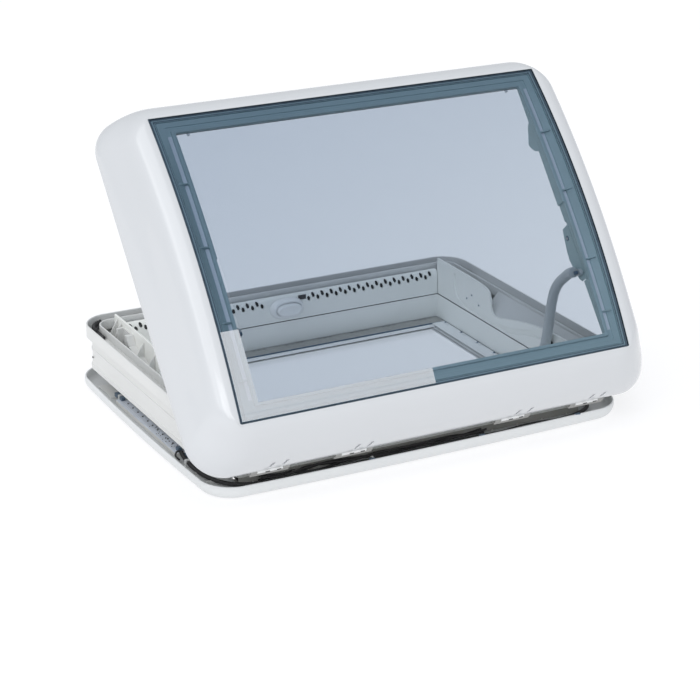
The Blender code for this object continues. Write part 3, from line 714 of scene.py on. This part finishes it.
def build_trim_frame():
    """Interior trim frame with a rolled outer edge, and the ribs and steps in its wiring channel."""
    low, high = box_of("trim_frame")
    size_x = high.x - low.x - 2 * TRIM_BOW
    size_y = high.y - low.y - 2 * TRIM_BOW
    outer = arc((16, 18), 16, 18, 270, 180, 10)
    lip = arc((2.2, TRIM_HEIGHT - 1.5), 1.5, 1.5, 180, 0, 6)
    inner = arc((17, 15), 12, 12, 180, 270, 8)
    profile = outer + lip + inner + [(66, WALL, 6), (68, WALL - 1, 6), (68, 1, 6), (67, 0, 6)]
    # the trim takes the cooler copy of frame white: painted shade
    fine("trim_frame", swept_frame(profile, size_x, size_y, TRIM_CORNER, 24, 12, TRIM_BOW),
         look="trim_shaded_white", angle=40.0)
    ribs = [block((x - 0.9, x + 0.9), mirrored((226, 271), sign), (2, 5.2))
            for x in range(-300, 301, 50) for sign in (-1, 1)]
    for y in (-215, -175, -135):
        ribs += two_blocks((328, 372), (y - 0.9, y + 0.9), (2, 8.0))
    ribs += two_blocks((331, 370), (176, 236), (2, 7.0))
    piece("channel_ribs", ribs, "frame_white", rounding=0.4)


def build_lights():
    """Light boards with their diodes, resistors, plugs, connectors, clips and wires."""
    rng = random.Random(4)
    for side, sign in SIDES:
        low, high = box_of(side + "_led_board")
        centre = (low.x + high.x) / 2
        front = low.y - SHIFT_Y
        rear = high.y - SHIFT_Y
        top = high.z
        refined(side + "_led_diffuser", 0.6)
        refined(side + "_led_board", 0.2)
        diodes = []
        y = front + 14.0
        while y < rear - 12.0:
            x = centre - sign * 2.2
            diodes.append(turned(((top - 0.2, 1.5), (top + 0.9, 1.5), (top + 1.1, 1.1)), "Z", (x, y), 12))
            y += 21.0
        for _ in range(26):
            x = centre + rng.uniform(-6.8, 6.8)
            y = rng.uniform(front + 14, (front + rear) / 2)
            diodes.append(block((x - 0.8, x + 0.8), (y - 0.5, y + 0.5), (top - 0.2, top + 0.6)))
        piece(side + "_diodes", diodes, "rubber_black", rounding=0.15)
        for end in ("front", "rear"):
            refined(side + "_" + end + "_led_plug", 0.6, look="clip_blue")
        edge = centre - sign * 9.4
        wire = smooth_route(((edge, rear - 4, top + 1.4), (edge + sign, (front + rear) / 2, top + 0.9),
                             (edge, front + 6, top + 1.4)), 12)
        piece(side + "_board_wire", tube(wire, 0.55, 8), "rubber_black")
        connectors = [block(mirrored((355, 365), sign), (164, 175), (9, 16)),
                      block(mirrored((355, 362), sign), (-122, -111), (8, 15))]
        piece(side + "_light_connectors", connectors, "rubber_black", look="clip_blue", rounding=0.6)
        tabs = [block(mirrored((357, 364), sign), (158, 162), (8, 16.5)),
                block(mirrored((361, 372), sign), (-141, -136), (3, 15)),
                block(mirrored((352, 360), sign), (-131, -127), (3, 16))]
        piece(side + "_light_clips", tabs, "bar_white", rounding=0.5)
        lead = smooth_route(((sign * 364, -103, 15), (sign * 372, -107, 17), (sign * 377, -113, 13),
                             (sign * 374, -122, 9)), 10)
        piece(side + "_light_lead", tube(lead, 1.5, 10), "rubber_black")


def harness_route():
    """Wiring loom: from the left light board round the front channel to the right one."""
    left = ((-364, -106, 14.5), (-366, -126, 11), (-367, -165, 9), (-361, -205, 9), (-342, -243, 9.5),
            (-308, -262, 10), (-262, -268, 10))
    centre = ((-205, -266, 11), (-150, -270, 10), (-80, -266, 10), (0, -269, 10), (80, -266, 10),
              (150, -270, 10), (205, -266, 11))
    right = tuple((-x, y, z) for x, y, z in reversed(left))
    return smooth_route(left + centre + right, 3)


def build_wiring():
    """The loom in its sleeve, loose wires beside it, and the tie round them."""
    route = smooth_route(harness_route(), 3)
    loom = piece("wiring_loom", tube(route, 3.4, 14), "rubber_black", stands_for="wire_harness")
    tie = refined("cable_tie", 0.3)
    wires = []
    # distance behind the loom, lift and phase of the waves, and radius
    for offset_y, lift, phase, radius in ((11, 1.0, 0.0, 1.9), (16, 3.0, 1.7, 1.5),
                                          (7, 6.5, 3.1, 1.9), (20, 0.6, 4.0, 1.5)):
        points = []
        for step in range(25):
            x = -292 + step * 17.5
            swing = 3.5 * math.sin(phase + step * 0.9)
            points.append((x, -264 + offset_y + swing, 8.0 + lift + 2.0 * math.sin(phase + step * 0.7)))
        wires.append(tube(smooth_route(points, 3), radius, 8))
    piece("loose_wires", wires, "rubber_black")


# ---- roof side frame


def build_roof_frame():
    """Flange, ring and grooved collar, sloped at the front to clear the shut lid, and what sits on it."""
    ring_in = RING_INSET
    neck_in = 36.5
    channel_in = 23.0
    floor = 101.0
    top = COLLAR_TOP
    low = box_of("roof_frame")[0].z
    profile = [(0, top - 1.2), (0, 98.6), (0.6, 97.8), (ring_in, 96), (ring_in, 78.0), (ring_in - 1.2, 77.0),
               (ring_in - 1.2, 74.0), (ring_in, 73.0), (ring_in, 47.0), (ring_in - 2.2, 45.5),
               (ring_in - 2.2, 40.0), (neck_in - WALL, 40.0, 23), (neck_in - WALL, low, 23),
               (neck_in, low, 20), (neck_in, 43.0, 20), (ring_in + WALL, 43.0), (ring_in + WALL, floor),
               (channel_in + WALL, floor)]
    profile += arc((channel_in + WALL / 2, top - 3.5), WALL / 2, 1.5, 0, 180, 6)
    profile += [(channel_in, floor + WALL), (WALL, floor + WALL)]
    profile += arc((WALL / 2, top - 1.5), WALL / 2, 1.5, 0, 150, 5)
    slope = ((-287.5, 54.0), (-226.0, 133.0), (-226.0, 200), (-400, 200), (-400, 54.0))
    fine("roof_frame", swept_frame(profile, COLLAR_X, COLLAR_Y, COLLAR_CORNER, 24),
         cuts=(prism(slope, "X", -450, 450),), angle=28.0)
    refined("rim_foam", 0.8)
    waves = []
    for index in range(9):
        angle = math.radians(112 + index * 9)
        x = -COLLAR_X / 2 + COLLAR_CORNER + (COLLAR_CORNER - 13) * math.cos(angle)
        y = COLLAR_Y / 2 - COLLAR_CORNER + (COLLAR_CORNER - 13) * math.sin(angle)
        waves.append(turned(((104.2, 3.6), (114, 3.6), (116.5, 1.8)), "Z", (x, y), 12))
    piece("corner_foam", waves, "rubber_black")
    screw = turned(((-378.2, 1.8), (-377.2, 1.8), (-376.9, 1.2)), "X", (238, 62), 12)
    piece("ring_screw", screw, "rubber_black")
    liner = ((0, 17), (0, SEAM_Z - GAP), (-WALL, SEAM_Z - GAP), (-WALL, 17))
    fine("inner_liner", swept_frame(liner, 2 * LINER_X, 2 * LINER_Y, 4.0, 6), rounding=0.5)
    # a dark ring just behind the seam of liner and side panels: painted shade for the seam line
    seam_shade = ((0.1, 61.0), (0.1, 62.7), (-0.8, 62.7), (-0.8, 61.0))
    piece("seam_shade_line", swept_frame(seam_shade, 2 * LINER_X + 0.4, 2 * LINER_Y, 4.0, 6), "rubber_black",
          look="painted_gap_shade")
    for side, sign in SIDES:
        slope = [(sign * x, z) for x, z in ((331.4, 78), (331.4, 84), (359.0, 114), (359.0, 108))]
        piece(side + "_ledge", prism(slope, "Y", -228, 80), "frame_white", rounding=0.5)


def panel_outline():
    """Side panel seen from the side, (y, z): high at the back, stepped down to a wavy front."""
    top = ((248, 131.5), (170, 131.5), (98, 130.5), (66, 125), (56.5, 111), (54, 97), (46, 86), (29, 84.5),
           (2, 91), (-40, 101), (-100, 111), (-170, 116), (-241, 116))
    crest = [tuple(point) for point in smooth_route(top, 6)]
    return [(-241, SEAM_Z), (248, SEAM_Z)] + crest


def groove_route():
    """Middle of the bow's guide groove, (y, z), from its mouth at the back to its front end."""
    points = ((182, 121), (181, 103), (172, 83), (150, 73), (105, 70), (60, 69), (25, 69.5), (-10, 73),
              (-45, 82), (-80, 92), (-115, 96), BOW_FOOT)
    return smooth_route(points, 6)


def panel_ribs():
    """Raised lines on a side panel, (y, z) routes: an upright pair, two S shapes and a short hook."""
    upright = (((146, 122), (146, 106), (145, 90)), ((133, 125), (133, 108), (132, 93)))
    curls = (((140, 86), (130, 82.5), (114, 82), (108, 78), (105, 73.5)),
             ((120, 92), (106, 91), (90, 91), (87, 86), (76, 83), (68, 79), (64, 73.8)))
    hook = (((120, 99), (120, 95), (116, 93)),)
    return upright + curls + hook


def build_side_panels():
    """Panels with the bow's guide groove and moulded lines, and the guide mouldings behind them."""
    groove = strip_along(groove_route(), 4.5)
    for side, sign in SIDES:
        inner = sign * PANEL_X
        cut = prism(groove, "X", inner - sign * 5, inner + sign * 3.0)
        fine(side + "_side_panel", prism(panel_outline(), "X", inner, sign * PANEL_BACK), cuts=(cut,),
             rounding=0.7, angle=30.0)
        lines = []
        for points in panel_ribs():
            route = [(inner + sign * 0.8, *point) for point in smooth_route(points, 6)]
            lines.append(tube(route, 1.2, 10))
        piece(side + "_panel_ribs", lines, "panel_grey")
        marks = [block(mirrored((326.2, 328), sign), (y - 1.6, y + 1.6), (z - 1.6, z + 1.6))
                 for y, z in ((137, 87), (120, 98.5), (95, 86.5))]
        piece(side + "_panel_marks", marks, "rubber_black", look="clip_blue", rounding=0.4)
        build_guide(side, sign)


def build_guide(side, sign):
    """Moulding behind a side panel: a body with open pockets, webs and a peaked bracket."""
    outline = ((-60, SEAM_Z + 2), (206, SEAM_Z + 2), (206, 122), (160, 122), (150, 106), (40, 82), (-60, 88))
    pockets = [block(mirrored((334.0, 350), sign), span, height)
               for span, height in (((168, 200), (72, 150)), ((128, 152), (72, 96)), ((84, 112), (70, 86)),
                                    ((30, 62), (70, 76)), ((-20, 10), (70, 80)))]
    body = prism(outline, "X", sign * 331.3, sign * 345.0)
    fine(side + "_bow_guide", body, cuts=pockets, rounding=0.8, angle=30.0)
    webs = []
    for y, z_top, reach in ((232, 128, 356), (214, 127, 354), (116, 124, 352), (70, 118, 350)):
        web = ((331.2, SEAM_Z + 3), (reach, SEAM_Z + 3), (reach, 84), (338, z_top - 10), (331.2, z_top))
        webs.append(prism([(sign * x, z) for x, z in web], "Y", y - 1.2, y + 1.2))
    piece(side + "_panel_webs", webs, "frame_white", rounding=0.4)


def build_end_walls():
    """Plain front wall above the liner, and the rear one, with two staggered rows of vent holes."""
    refined("front_inner_wall", 0.8)
    top = box_of("rear_vent_strip")[1].z
    face = [(243, SEAM_Z), (243, 96)]
    bend = ((243, 97), (243.6, 101.2), (245.6, 105.4), (249, 108.4), (254.8, top))
    curve = [tuple(point) for point in smooth_route(bend, 5)]
    back = [(254.8, top - 2.5), (250, 106), (247.6, 103.6), (246.1, 100.2), (245.6, 96.5), (245.6, SEAM_Z)]
    holes = []
    slant = math.radians(-25)
    for stagger, z in ((0.0, 103.2), (0.5, 98.0)):
        for index in range(-17, 17):
            x = (index + stagger) * VENT_PITCH + 4.0
            if abs(x - BUTTON_X) < 42 or abs(x) > 312:
                continue
            oval = []
            for a, b in circle((0, 0), 1.0, 20):
                across = 3.3 * a
                along = 5.2 * b
                oval.append((x + across * math.cos(slant) + along * math.sin(slant),
                             z - across * math.sin(slant) + along * math.cos(slant)))
            holes.append(prism(oval, "Y", 236.0, 252.0))
    half = LINER_X - GAP
    fine("rear_vent_strip", prism(face + curve + back, "X", -half, half), cuts=(joined(holes),), angle=30.0)
    # a dark sheet just behind the vent holes: painted shade for the holes' insides
    shade_face = [(246.8, 66), (246.8, 96.6), (247.3, 99.9), (248.6, 102.7), (250.4, 104.8), (254.6, 105.9)]
    shade_back = [(254.6, 104.9), (251, 103.9), (249.6, 102.1), (248.4, 99.6), (247.9, 96.4), (247.9, 66)]
    piece("vent_hole_shade", prism(shade_face + shade_back, "X", 4 - half, half - 4), "rubber_black",
          look="painted_gap_shade")


def oval_solid(levels):
    """A solid round the button's axis; levels lists (y, half width, half height) of superellipses."""
    sides = 64
    rings = []
    for y, half_width, half_height in levels:
        ring = []
        for index in range(sides):
            angle = 2 * math.pi * (index + 0.5) / sides
            c = math.cos(angle)
            s = math.sin(angle)
            ring.append((BUTTON_X + half_width * math.copysign(abs(c) ** 0.8, c), y,
                         BUTTON_Z + half_height * math.copysign(abs(s) ** 0.8, s)))
        rings.append(ring)
    return loft(rings, False)


def build_button():
    """Domed oval housing on the vent strip and the push button in it."""
    fine("button_housing", oval_solid((
        (242.6, 33, 19), (240, 32.9, 18.9), (237, 32.3, 18.3), (234, 31.2, 17.4), (232, 30.2, 16.6),
        (231, 28.6, 15.2), (231, 26.2, 13.4), (231.8, 25.2, 12.6), (240, 25, 12.4))))
    fine("release_button", oval_solid((
        (236.5, 24.2, 11.6), (227.6, 24.2, 11.6), (226.0, 24.0, 11.4), (224.6, 23.2, 10.7),
        (223.7, 21.6, 9.4), (223.5, 19.0, 7.6), (223.9, 12.0, 4.6))))
    # dark block beside the button: painted shade for a recess
    recess = block((29, 45), (241.6, 242.7), (99, 108))
    piece("button_recess", recess, "rubber_black", look="painted_gap_shade", rounding=0.3)


# ---- blind and flyscreen


def build_tracks():
    """Cassettes with slotted tops, and the side rails with their clips and screws."""
    for end, sign in (("rear", 1), ("front", -1)):
        refined(end + "_cassette", 0.4)
        top = box_of(end + "_cassette")[1].z
        # dark marks on the cassette top: painted shade for its slots
        slots = []
        for group in range(-4, 5):
            for index in range(3 if group % 2 else 4):
                x = group * 68.0 + index * 11.0
                y = sign * 238.0
                slots.append(block((x, x + 6.5), (y - 1.1, y + 1.1), (top - 0.3, top + 0.12)))
        piece(end + "_cassette_slots", slots, "rubber_black", look="painted_gap_shade")
        edge = block((-CLOTH_X, CLOTH_X), mirrored((213.2, 214.6), sign), (top - 3.2, top + 0.1))
        piece(end + "_cassette_edge", edge, "inner_frame_grey", look="clip_blue")
    for side, sign in SIDES:
        refined(side + "_rail", 0.3)
        places = (198, 140, 82, 24, -34, -92, -150)
        clips = [block(mirrored((317.5, 323.5), sign), (y - 9, y + 9), (16.6, 18.0)) for y in places]
        screws = [turned(((17.9, 1.9), (19.2, 1.9), (19.6, 1.2)), "Z", (sign * 320.5, y + 3), 16)
                  for y in places]
        piece(side + "_rail_clips", clips, "bar_white", rounding=0.4)
        piece(side + "_rail_screws", screws, "steel", look="clip_blue")


FOLDS = 48


def pleats(anchor):
    """A cloth folded flat against its cassette, as a fixed zigzag sheet between the node's heights."""
    name = anchor + "_pleats"
    low, high = box_of(name)
    near = low.y - SHIFT_Y
    far = high.y - SHIFT_Y
    steps = 2 * FOLDS
    vertices = []
    for step in range(steps + 1):
        y = near + (far - near) * (step / steps)
        z = low.z if step % 2 else high.z
        vertices += [at_base(-CLOTH_X, y, z), at_base(CLOTH_X, y, z)]
    faces = [(step, step + 1, step + 3, step + 2) for step in range(0, 2 * steps, 2)]
    mesh = bpy.data.meshes.new(name)
    mesh.from_pydata(vertices, [], faces)
    mesh.materials.append(FINISH[SLOT_OF[name]])
    sheet = object_from(name + "_cloth", mesh)
    skin = sheet.modifiers.new("thickness", "SOLIDIFY")
    skin.thickness = 0.00012
    skin.offset = 0.0
    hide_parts(name)
    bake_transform(sheet)


def build_blinds():
    """Draw bars and the pleated cloths behind them."""
    for name in ("blind", "flyscreen"):
        refined(name + "_bar", 0.4)
    pleats("blind")
    pleats("flyscreen")


# ---- lid

# outside of the lid from the rim up: half width, front, back, height, share of camber, corner radius
LID_SKIN = ((428.0, 0.0, LID_DEPTH, 0.0, 0.0, 62.0), (427.0, 1.0, 619.0, 10.0, 0.0, 63.0),
            (419.0, 7.0, 617.5, 30.0, 0.1, 66.0), (408.5, 18.0, 613.5, 50.0, 0.3, 68.0),
            (396.5, 32.5, 604.0, 69.0, 0.75, 62.0), (386.0, 45.0, 593.5, 79.0, 0.96, 50.0),
            (372.0, 55.0, 583.5, GLASS_TOP, 1.0, 26.0))


def lid_ring(half_x, front, back, w, rise, radius):
    """A loop round the lid, in the lid's frame, that follows the camber by the share rise."""
    loop = rounded_loop(half_x, front, back, radius, corner_steps=20, side_steps=24, end_steps=4)
    return [(x, v, w + rise * camber(v)) for x, v in loop]


def skin_ring(half_x, front, back, w, rise, radius):
    """A loop on the lid's skin, raked where it doesn't follow the camber."""
    ring = lid_ring(half_x, front, back, w, rise, radius)
    return [(x, v, height - RIM_RAKE * (1 - rise) * v / LID_DEPTH) for x, v, height in ring]


def band_x(share):
    """Half width of the band between the glass's edge (share 0) and the aperture (share 1)."""
    return GLASS_X + share * (APERTURE_X - GLASS_X)


def glazing_ring(share, w, rise, radius):
    """A loop in the band between the glass's edge and the aperture."""
    front = GLASS_FRONT + share * (APERTURE_FRONT - GLASS_FRONT)
    back = GLASS_BACK + share * (APERTURE_BACK - GLASS_BACK)
    return lid_ring(band_x(share), front, back, w, rise, radius)


def clip_slits():
    """Two slanted slits in the lid's front skin above each hinge, as cutters in the lid's frame."""
    slits = []
    for centre in (-298, -274, -146, -122, 157, 181, 304, 327):
        outline = ((centre - 8.0, 9.0), (centre - 2.5, 9.0), (centre + 3.5, 21.0), (centre - 2.0, 21.0))
        slits.append(prism(outline, "Y", -6.0, 22.0))
    return joined(slits)


def build_lid_shell():
    """Glossy outer shell with a rebate for the outer pane and clip slits over the hinges."""
    ledge_top = GLASS_TOP - 4.4
    ledge_low = ledge_top - 2.5
    levels = [Vector(level) for level in LID_SKIN]
    rings = [skin_ring(*level) for level in curve([levels[0]] + levels + [levels[-1]], 4)]
    for share, w, radius in ((-0.06, GLASS_TOP + 0.1, 3.0), (0.0, GLASS_TOP - 0.4, 2.0),
                             (0.0, ledge_top, 2.0), (0.2, ledge_top, 1.0), (0.2, ledge_low, 1.0),
                             (-0.16, ledge_low, 4.0)):
        rings.append(glazing_ring(share, w, 1.0, radius))
    for index in range(len(LID_SKIN) - 2, -1, -1):
        half_x, front, back, w, rise, radius = LID_SKIN[index]
        upper = index / (len(LID_SKIN) - 1)
        inward = WALL * (1 - 0.5 * upper)
        below = w - WALL * upper
        rings.append(skin_ring(half_x - inward, front + inward, back - inward, below, rise, radius - inward))
    fine("lid_shell", loft(rings, True), cuts=(clip_slits(),), angle=40.0)


def pane(half_x, front, back, low, high):
    """A curved sheet between two heights, following the camber, in the lid's frame."""
    steps = 40
    upper = []
    lower = []
    for step in range(steps + 1):
        v = front + (back - front) * step / steps
        upper.append((v, high + camber(v)))
        lower.append((v, low + camber(v)))
    return prism(upper + list(reversed(lower)), "X", -half_x, half_x)


def thin_strip(rows, low, high, rise=1.0):
    """A strip between two heights that follows the camber; rows are pairs of (x, v) points."""
    rings = []
    for row in rows:
        lower = [(x, v, low + rise * camber(v)) for x, v in row]
        upper = [(x, v, high + rise * camber(v)) for x, v in reversed(row)]
        rings.append(lower + upper)
    return loft(rings, False)


def build_glazing():
    """Tinted outer pane in its dark gasket and the clear inner pane."""
    edge = 1.1
    outer = pane(GLASS_X - edge, GLASS_FRONT + edge, GLASS_BACK - edge, GLASS_TOP - 2.6, GLASS_TOP)
    fine("outer_pane", outer, angle=20.0).visible_shadow = False
    top = GLASS_TOP - 0.5
    foot = GLASS_TOP - 4.3
    gasket = ((0.005, top), (0.022, top), (0.022, foot + 0.6), (0.07, foot + 0.6), (0.075, foot + 1.4),
              (0.10, foot + 1.4), (0.105, foot + 0.6), (0.235, foot + 0.6), (0.235, foot), (0.005, foot))
    rings = [glazing_ring(share, w, 1.0, 2.0) for share, w in gasket]
    fine("pane_gasket", loft(rings, True), look="gasket_grey")
    bed = ((0.135, foot + 1.5), (0.19, foot + 1.5), (0.19, foot + 0.4), (0.135, foot + 0.4))
    rings = [glazing_ring(share, w, 1.0, 1.5) for share, w in bed]
    piece("glazing_bed", loft(rings, True), "inner_frame_grey", "lid")
    inner = pane(APERTURE_X - 1.2, APERTURE_FRONT + 1.2, APERTURE_BACK - 1.2, 73.4, 75.8)
    fine("inner_pane", inner, angle=20.0).visible_shadow = False


# section of the frame under the glass, from the aperture out: share of band, height, share of camber
FRAME_UP = FRAME_UNDERSIDE + 0.8
FRAME_STEPS = ((1.0, FRAME_UNDERSIDE, 0.0), (1.0, FRAME_UP + 0.6, 0.22), (0.99, FRAME_UP + 0.9, 0.22),
               (0.99, FRAME_UP + 1.4, 0.44), (0.98, FRAME_UP + 1.7, 0.44), (0.98, FRAME_UP + 2.7, 0.65),
               (0.96, FRAME_UP + 3.1, 0.65), (0.84, FRAME_UP + 3.1, 0.65), (0.81, FRAME_UP + 2.2, 0.64),
               (0.80, FRAME_UP, 0.6), (0.61, FRAME_UP, 0.6), (0.595, FRAME_UP + 1.2, 0.61),
               (0.31, GLASS_TOP - 4.6, 0.98), (0.30, GLASS_TOP - 6.0, 0.98), (0.27, GLASS_TOP - 6.0, 0.98),
               (0.26, GLASS_TOP - 3.5, 1.0), (0.24, GLASS_TOP - 3.5, 1.0))
FRAME_RIBS = (125.0, 219.0, 346.0, 457.0)


def frame_height(share, v):
    """Height of the frame's upper face at a share of the band."""
    steps = FRAME_STEPS[1:]
    for (outer, w_a, rise_a), (inner, w_b, rise_b) in zip(steps, steps[1:]):
        if inner <= share <= outer and outer > inner:
            part = (outer - share) / (outer - inner)
            return w_a + (w_b - w_a) * part + (rise_a + (rise_b - rise_a) * part) * camber(v)
    return FRAME_UP


def wedge_rib(v, sign):
    """A rib across the side channel that runs out on the sloping wall."""
    low = frame_height(0.7, v) - 0.5
    stations = ((0.80, 3.6), (0.74, 4.6), (0.60, 5.2), (0.44, 3.4), (0.36, 0.4))
    top = []
    for share, lift in stations:
        base = frame_height(share, v)
        top.append((sign * band_x(share), max(base, frame_height(0.7, v)) + lift))
    foot = [(x, min(low, z - 1.0)) for x, z in top]
    return prism(top + list(reversed(foot)), "Y", v - 1.1, v + 1.1)


def build_inner_frame():
    """Stepped frame round the aperture under the glass, with ribs across its channel."""
    flange = FRAME_UNDERSIDE - 2.8
    foot = FRAME_UNDERSIDE - 5.4
    levels = FRAME_STEPS + ((0.24, flange, 0.0), (-0.1, flange, 0.0), (-0.1, foot, 0.0))
    rings = [glazing_ring(share, w, rise, 3.0) for share, w, rise in levels]
    rings.append(lid_ring(345.0, 71.3, 552.0, foot, 0.0, 3.0))
    rings.append(lid_ring(342.0, 73.7, 550.0, FRAME_UNDERSIDE, 0.0, 3.0))
    cuts = []
    pockets = ((303.0, 324.8, 186, 325, 97.5), (303.0, 327.0, 187, 295, 84), (326.5, 336.0, 195, 213, 84))
    for inner, outer, front, back, top in pockets:
        cuts += two_blocks((inner, outer), (front, back), (70, top))
    fine("lid_inner_frame", loft(rings, True), cuts=cuts, angle=30.0)
    ribs = [wedge_rib(v, sign) for v in FRAME_RIBS for sign in (-1, 1)]
    piece("lid_frame_ribs", ribs, "inner_frame_grey", "lid", rounding=0.3)
    # lighter strips on the channel floor on both sides: a painted highlight for a lit band
    strips = []
    ends = (92.0,) + FRAME_RIBS + (545.0,)
    for front, back in zip(ends, ends[1:]):
        for sign in (-1, 1):
            near, far = mirrored((band_x(0.785), band_x(0.63)), sign)
            places = [front + 1.6 + (back - front - 3.2) * step / 8 for step in range(9)]
            rows = [((near, v), (far, v)) for v in places]
            strips.append(thin_strip(rows, FRAME_UP - 0.2, FRAME_UP + 0.5, 0.6))
    piece("lid_channel_highlight", strips, "inner_frame_grey", "lid", look="painted_highlight_grey")
    refined("lid_seal", 1.2)


# sideways move of the painted reflection's inner edge for each millimetre of the frame's depth below the
# glass
REFLECTION_LEAN = 0.514


def build_painted_corner_reflection():
    """Pale sheet on the glass over the frame's front left corner: a painted reflection."""
    rows = []
    lift = GLASS_TOP + 0.05
    outer_x = GLASS_X - 4.2
    outer_v = GLASS_FRONT + 3.6
    inner_v = APERTURE_FRONT - 1.6
    for step in range(13):
        v = 204.0 - (204.0 - inner_v) * step / 12
        depth = 2.3 + 0.35 * camber(v)
        inner_x = APERTURE_X + REFLECTION_LEAN * depth
        rows.append(((-outer_x, v), (-inner_x, v)))
    rows.append(((-outer_x, outer_v), (-inner_x, inner_v)))
    rows += [((x, outer_v), (x, inner_v)) for x in (-300.0, -240.0, -180.0, -120.0, -60.0, -14.0)]
    painted_sheet = thin_strip(rows, lift, lift + 0.25)
    piece("corner_painted_reflection", painted_sheet, "clear_pane", "lid", look="painted_reflection_white").visible_shadow = False


def build_lid_fittings():
    """Cheek plates and bolts of the bow, catches, and small tabs at the inner pane's back."""
    screw_place = (268, 69)
    for side, sign in SIDES:
        refined(side + "_bow_bracket", 0.7)
        refined(side + "_lid_catch", 0.8)
        refined(side + "_pivot_bolt", 0.5, segments=3)
        tab = block(mirrored((297, 301.5), sign), (543.4, 547.4), (76.8, 80))
        piece(side + "_pane_tab", tab, "bar_white", "lid", rounding=0.5)
        washer = turned(((sign * 324.2, 4.0), (sign * 325.0, 4.4)), "X", screw_place, 20)
        piece(side + "_bracket_washer", washer, "steel", "lid", look="clip_blue")
        screw = turned(((sign * 323.6, 1.9), (sign * 325.0, 2.5)), "X", screw_place, 16)
        piece(side + "_bracket_screw", screw, "steel", "lid")


# ---- hinges


def build_hinges():
    """Hinges with rounded edges, and small slots in the lid's lip above each leaf."""
    # dark marks on the lid's lip: painted shade for the slots above each leaf
    slots = []
    for number, centre in enumerate(HINGE_CENTRES, 1):
        refined(f"hinge_base_{number}", 0.5, look="housing_grey")
        refined(f"hinge_leaf_{number}", 0.5)
        refined(f"hinge_pin_{number}", 0.2)
        for offset in (-7.0, 13.0):
            slots.append(block((centre + offset - 3.5, centre + offset + 3.5), (-4.2, -3.0), (1.0, 3.0)))
    piece("hinge_slots", slots, "rubber_black", "lid", look="painted_gap_shade")


def build_rim_strip():
    """Ribbed strip on the roof frame's ring between the hinges, and the clips on the front lip."""
    ribs = []
    wall_y = RING_INSET - COLLAR_Y / 2
    backing = block((-255, 255), (wall_y - 1.2, wall_y + 0.5), (41.5, 52))
    x = -252.0
    while x < 252.0:
        near_hinge = min(abs(x - centre) for centre in HINGE_CENTRES) < HINGE_LENGTH / 2 + 4
        if not near_hinge:
            ribs.append(block((x, x + 1.6), (wall_y - 4.0, wall_y - 1.0), (42, 51)))
        x += 7.0
    piece("ring_strip", backing, "track_grey")
    piece("ring_ribs", ribs, "frame_white", rounding=0.3, look="housing_grey")
    clips = []
    for x in (-108, 100, 291):
        y = -290.5 + 4.0 * (x / 390) ** 2 - 3.0
        clips.append(block((x - 5, x + 5), (y - 0.4, y + 5.0), (TRIM_HEIGHT - 2.0, TRIM_HEIGHT + 0.3)))
    piece("lip_clips", clips, "rubber_black", look="clip_blue", rounding=0.5)


# ---- bow


def bow_route():
    """Middle of the bow: right arm down from its end fitting, across the crossbar, up the left arm."""
    arm = ((BOW_X, -222.3, 253.6), (BOW_X, -212, 249), (BOW_X, -197, 237), (BOW_X, -180, 221),
           (BOW_X, -168, 202), (BOW_X, -162, 182), (BOW_X, -157, 155), (BOW_X, -149, 105),
           (BOW_X - 6, -147, 84), (BOW_X - 24, -146, 71))
    crossbar = ((250, -145, 68), (80, -145, 68))
    half = arm + crossbar
    mirror = tuple((-x, y, z) for x, y, z in reversed(half))
    return smooth_route(half + mirror, 8)


def build_bow():
    """The U-shaped tube, its flattened end fittings and pivot pins, and the slide pads at its feet."""
    fine("bow_tube", tube(bow_route(), BOW_RADIUS, 32))
    for side, sign in SIDES:
        refined(side + "_bow_end", 0.8)
        pin = turned(((sign * 311.0, 3.2), (sign * 318.6, 3.2)), "X", BOW_PIVOT, 16)
        piece(side + "_bow_pin", pin, "steel", "bow", look="clip_blue", rounding=0.4)
        refined(side + "_bow_foot", 0.6)


def main():
    """Camera and cord first, then the studio and the pieces, group by group."""
    make_camera()
    build_wiring()
    make_studio()
    build_trim_frame()
    build_lights()
    build_roof_frame()
    build_side_panels()
    build_end_walls()
    build_button()
    build_tracks()
    build_blinds()
    build_lid_shell()
    build_glazing()
    build_inner_frame()
    build_painted_corner_reflection()
    build_lid_fittings()
    build_hinges()
    build_rim_strip()
    build_bow()


main()
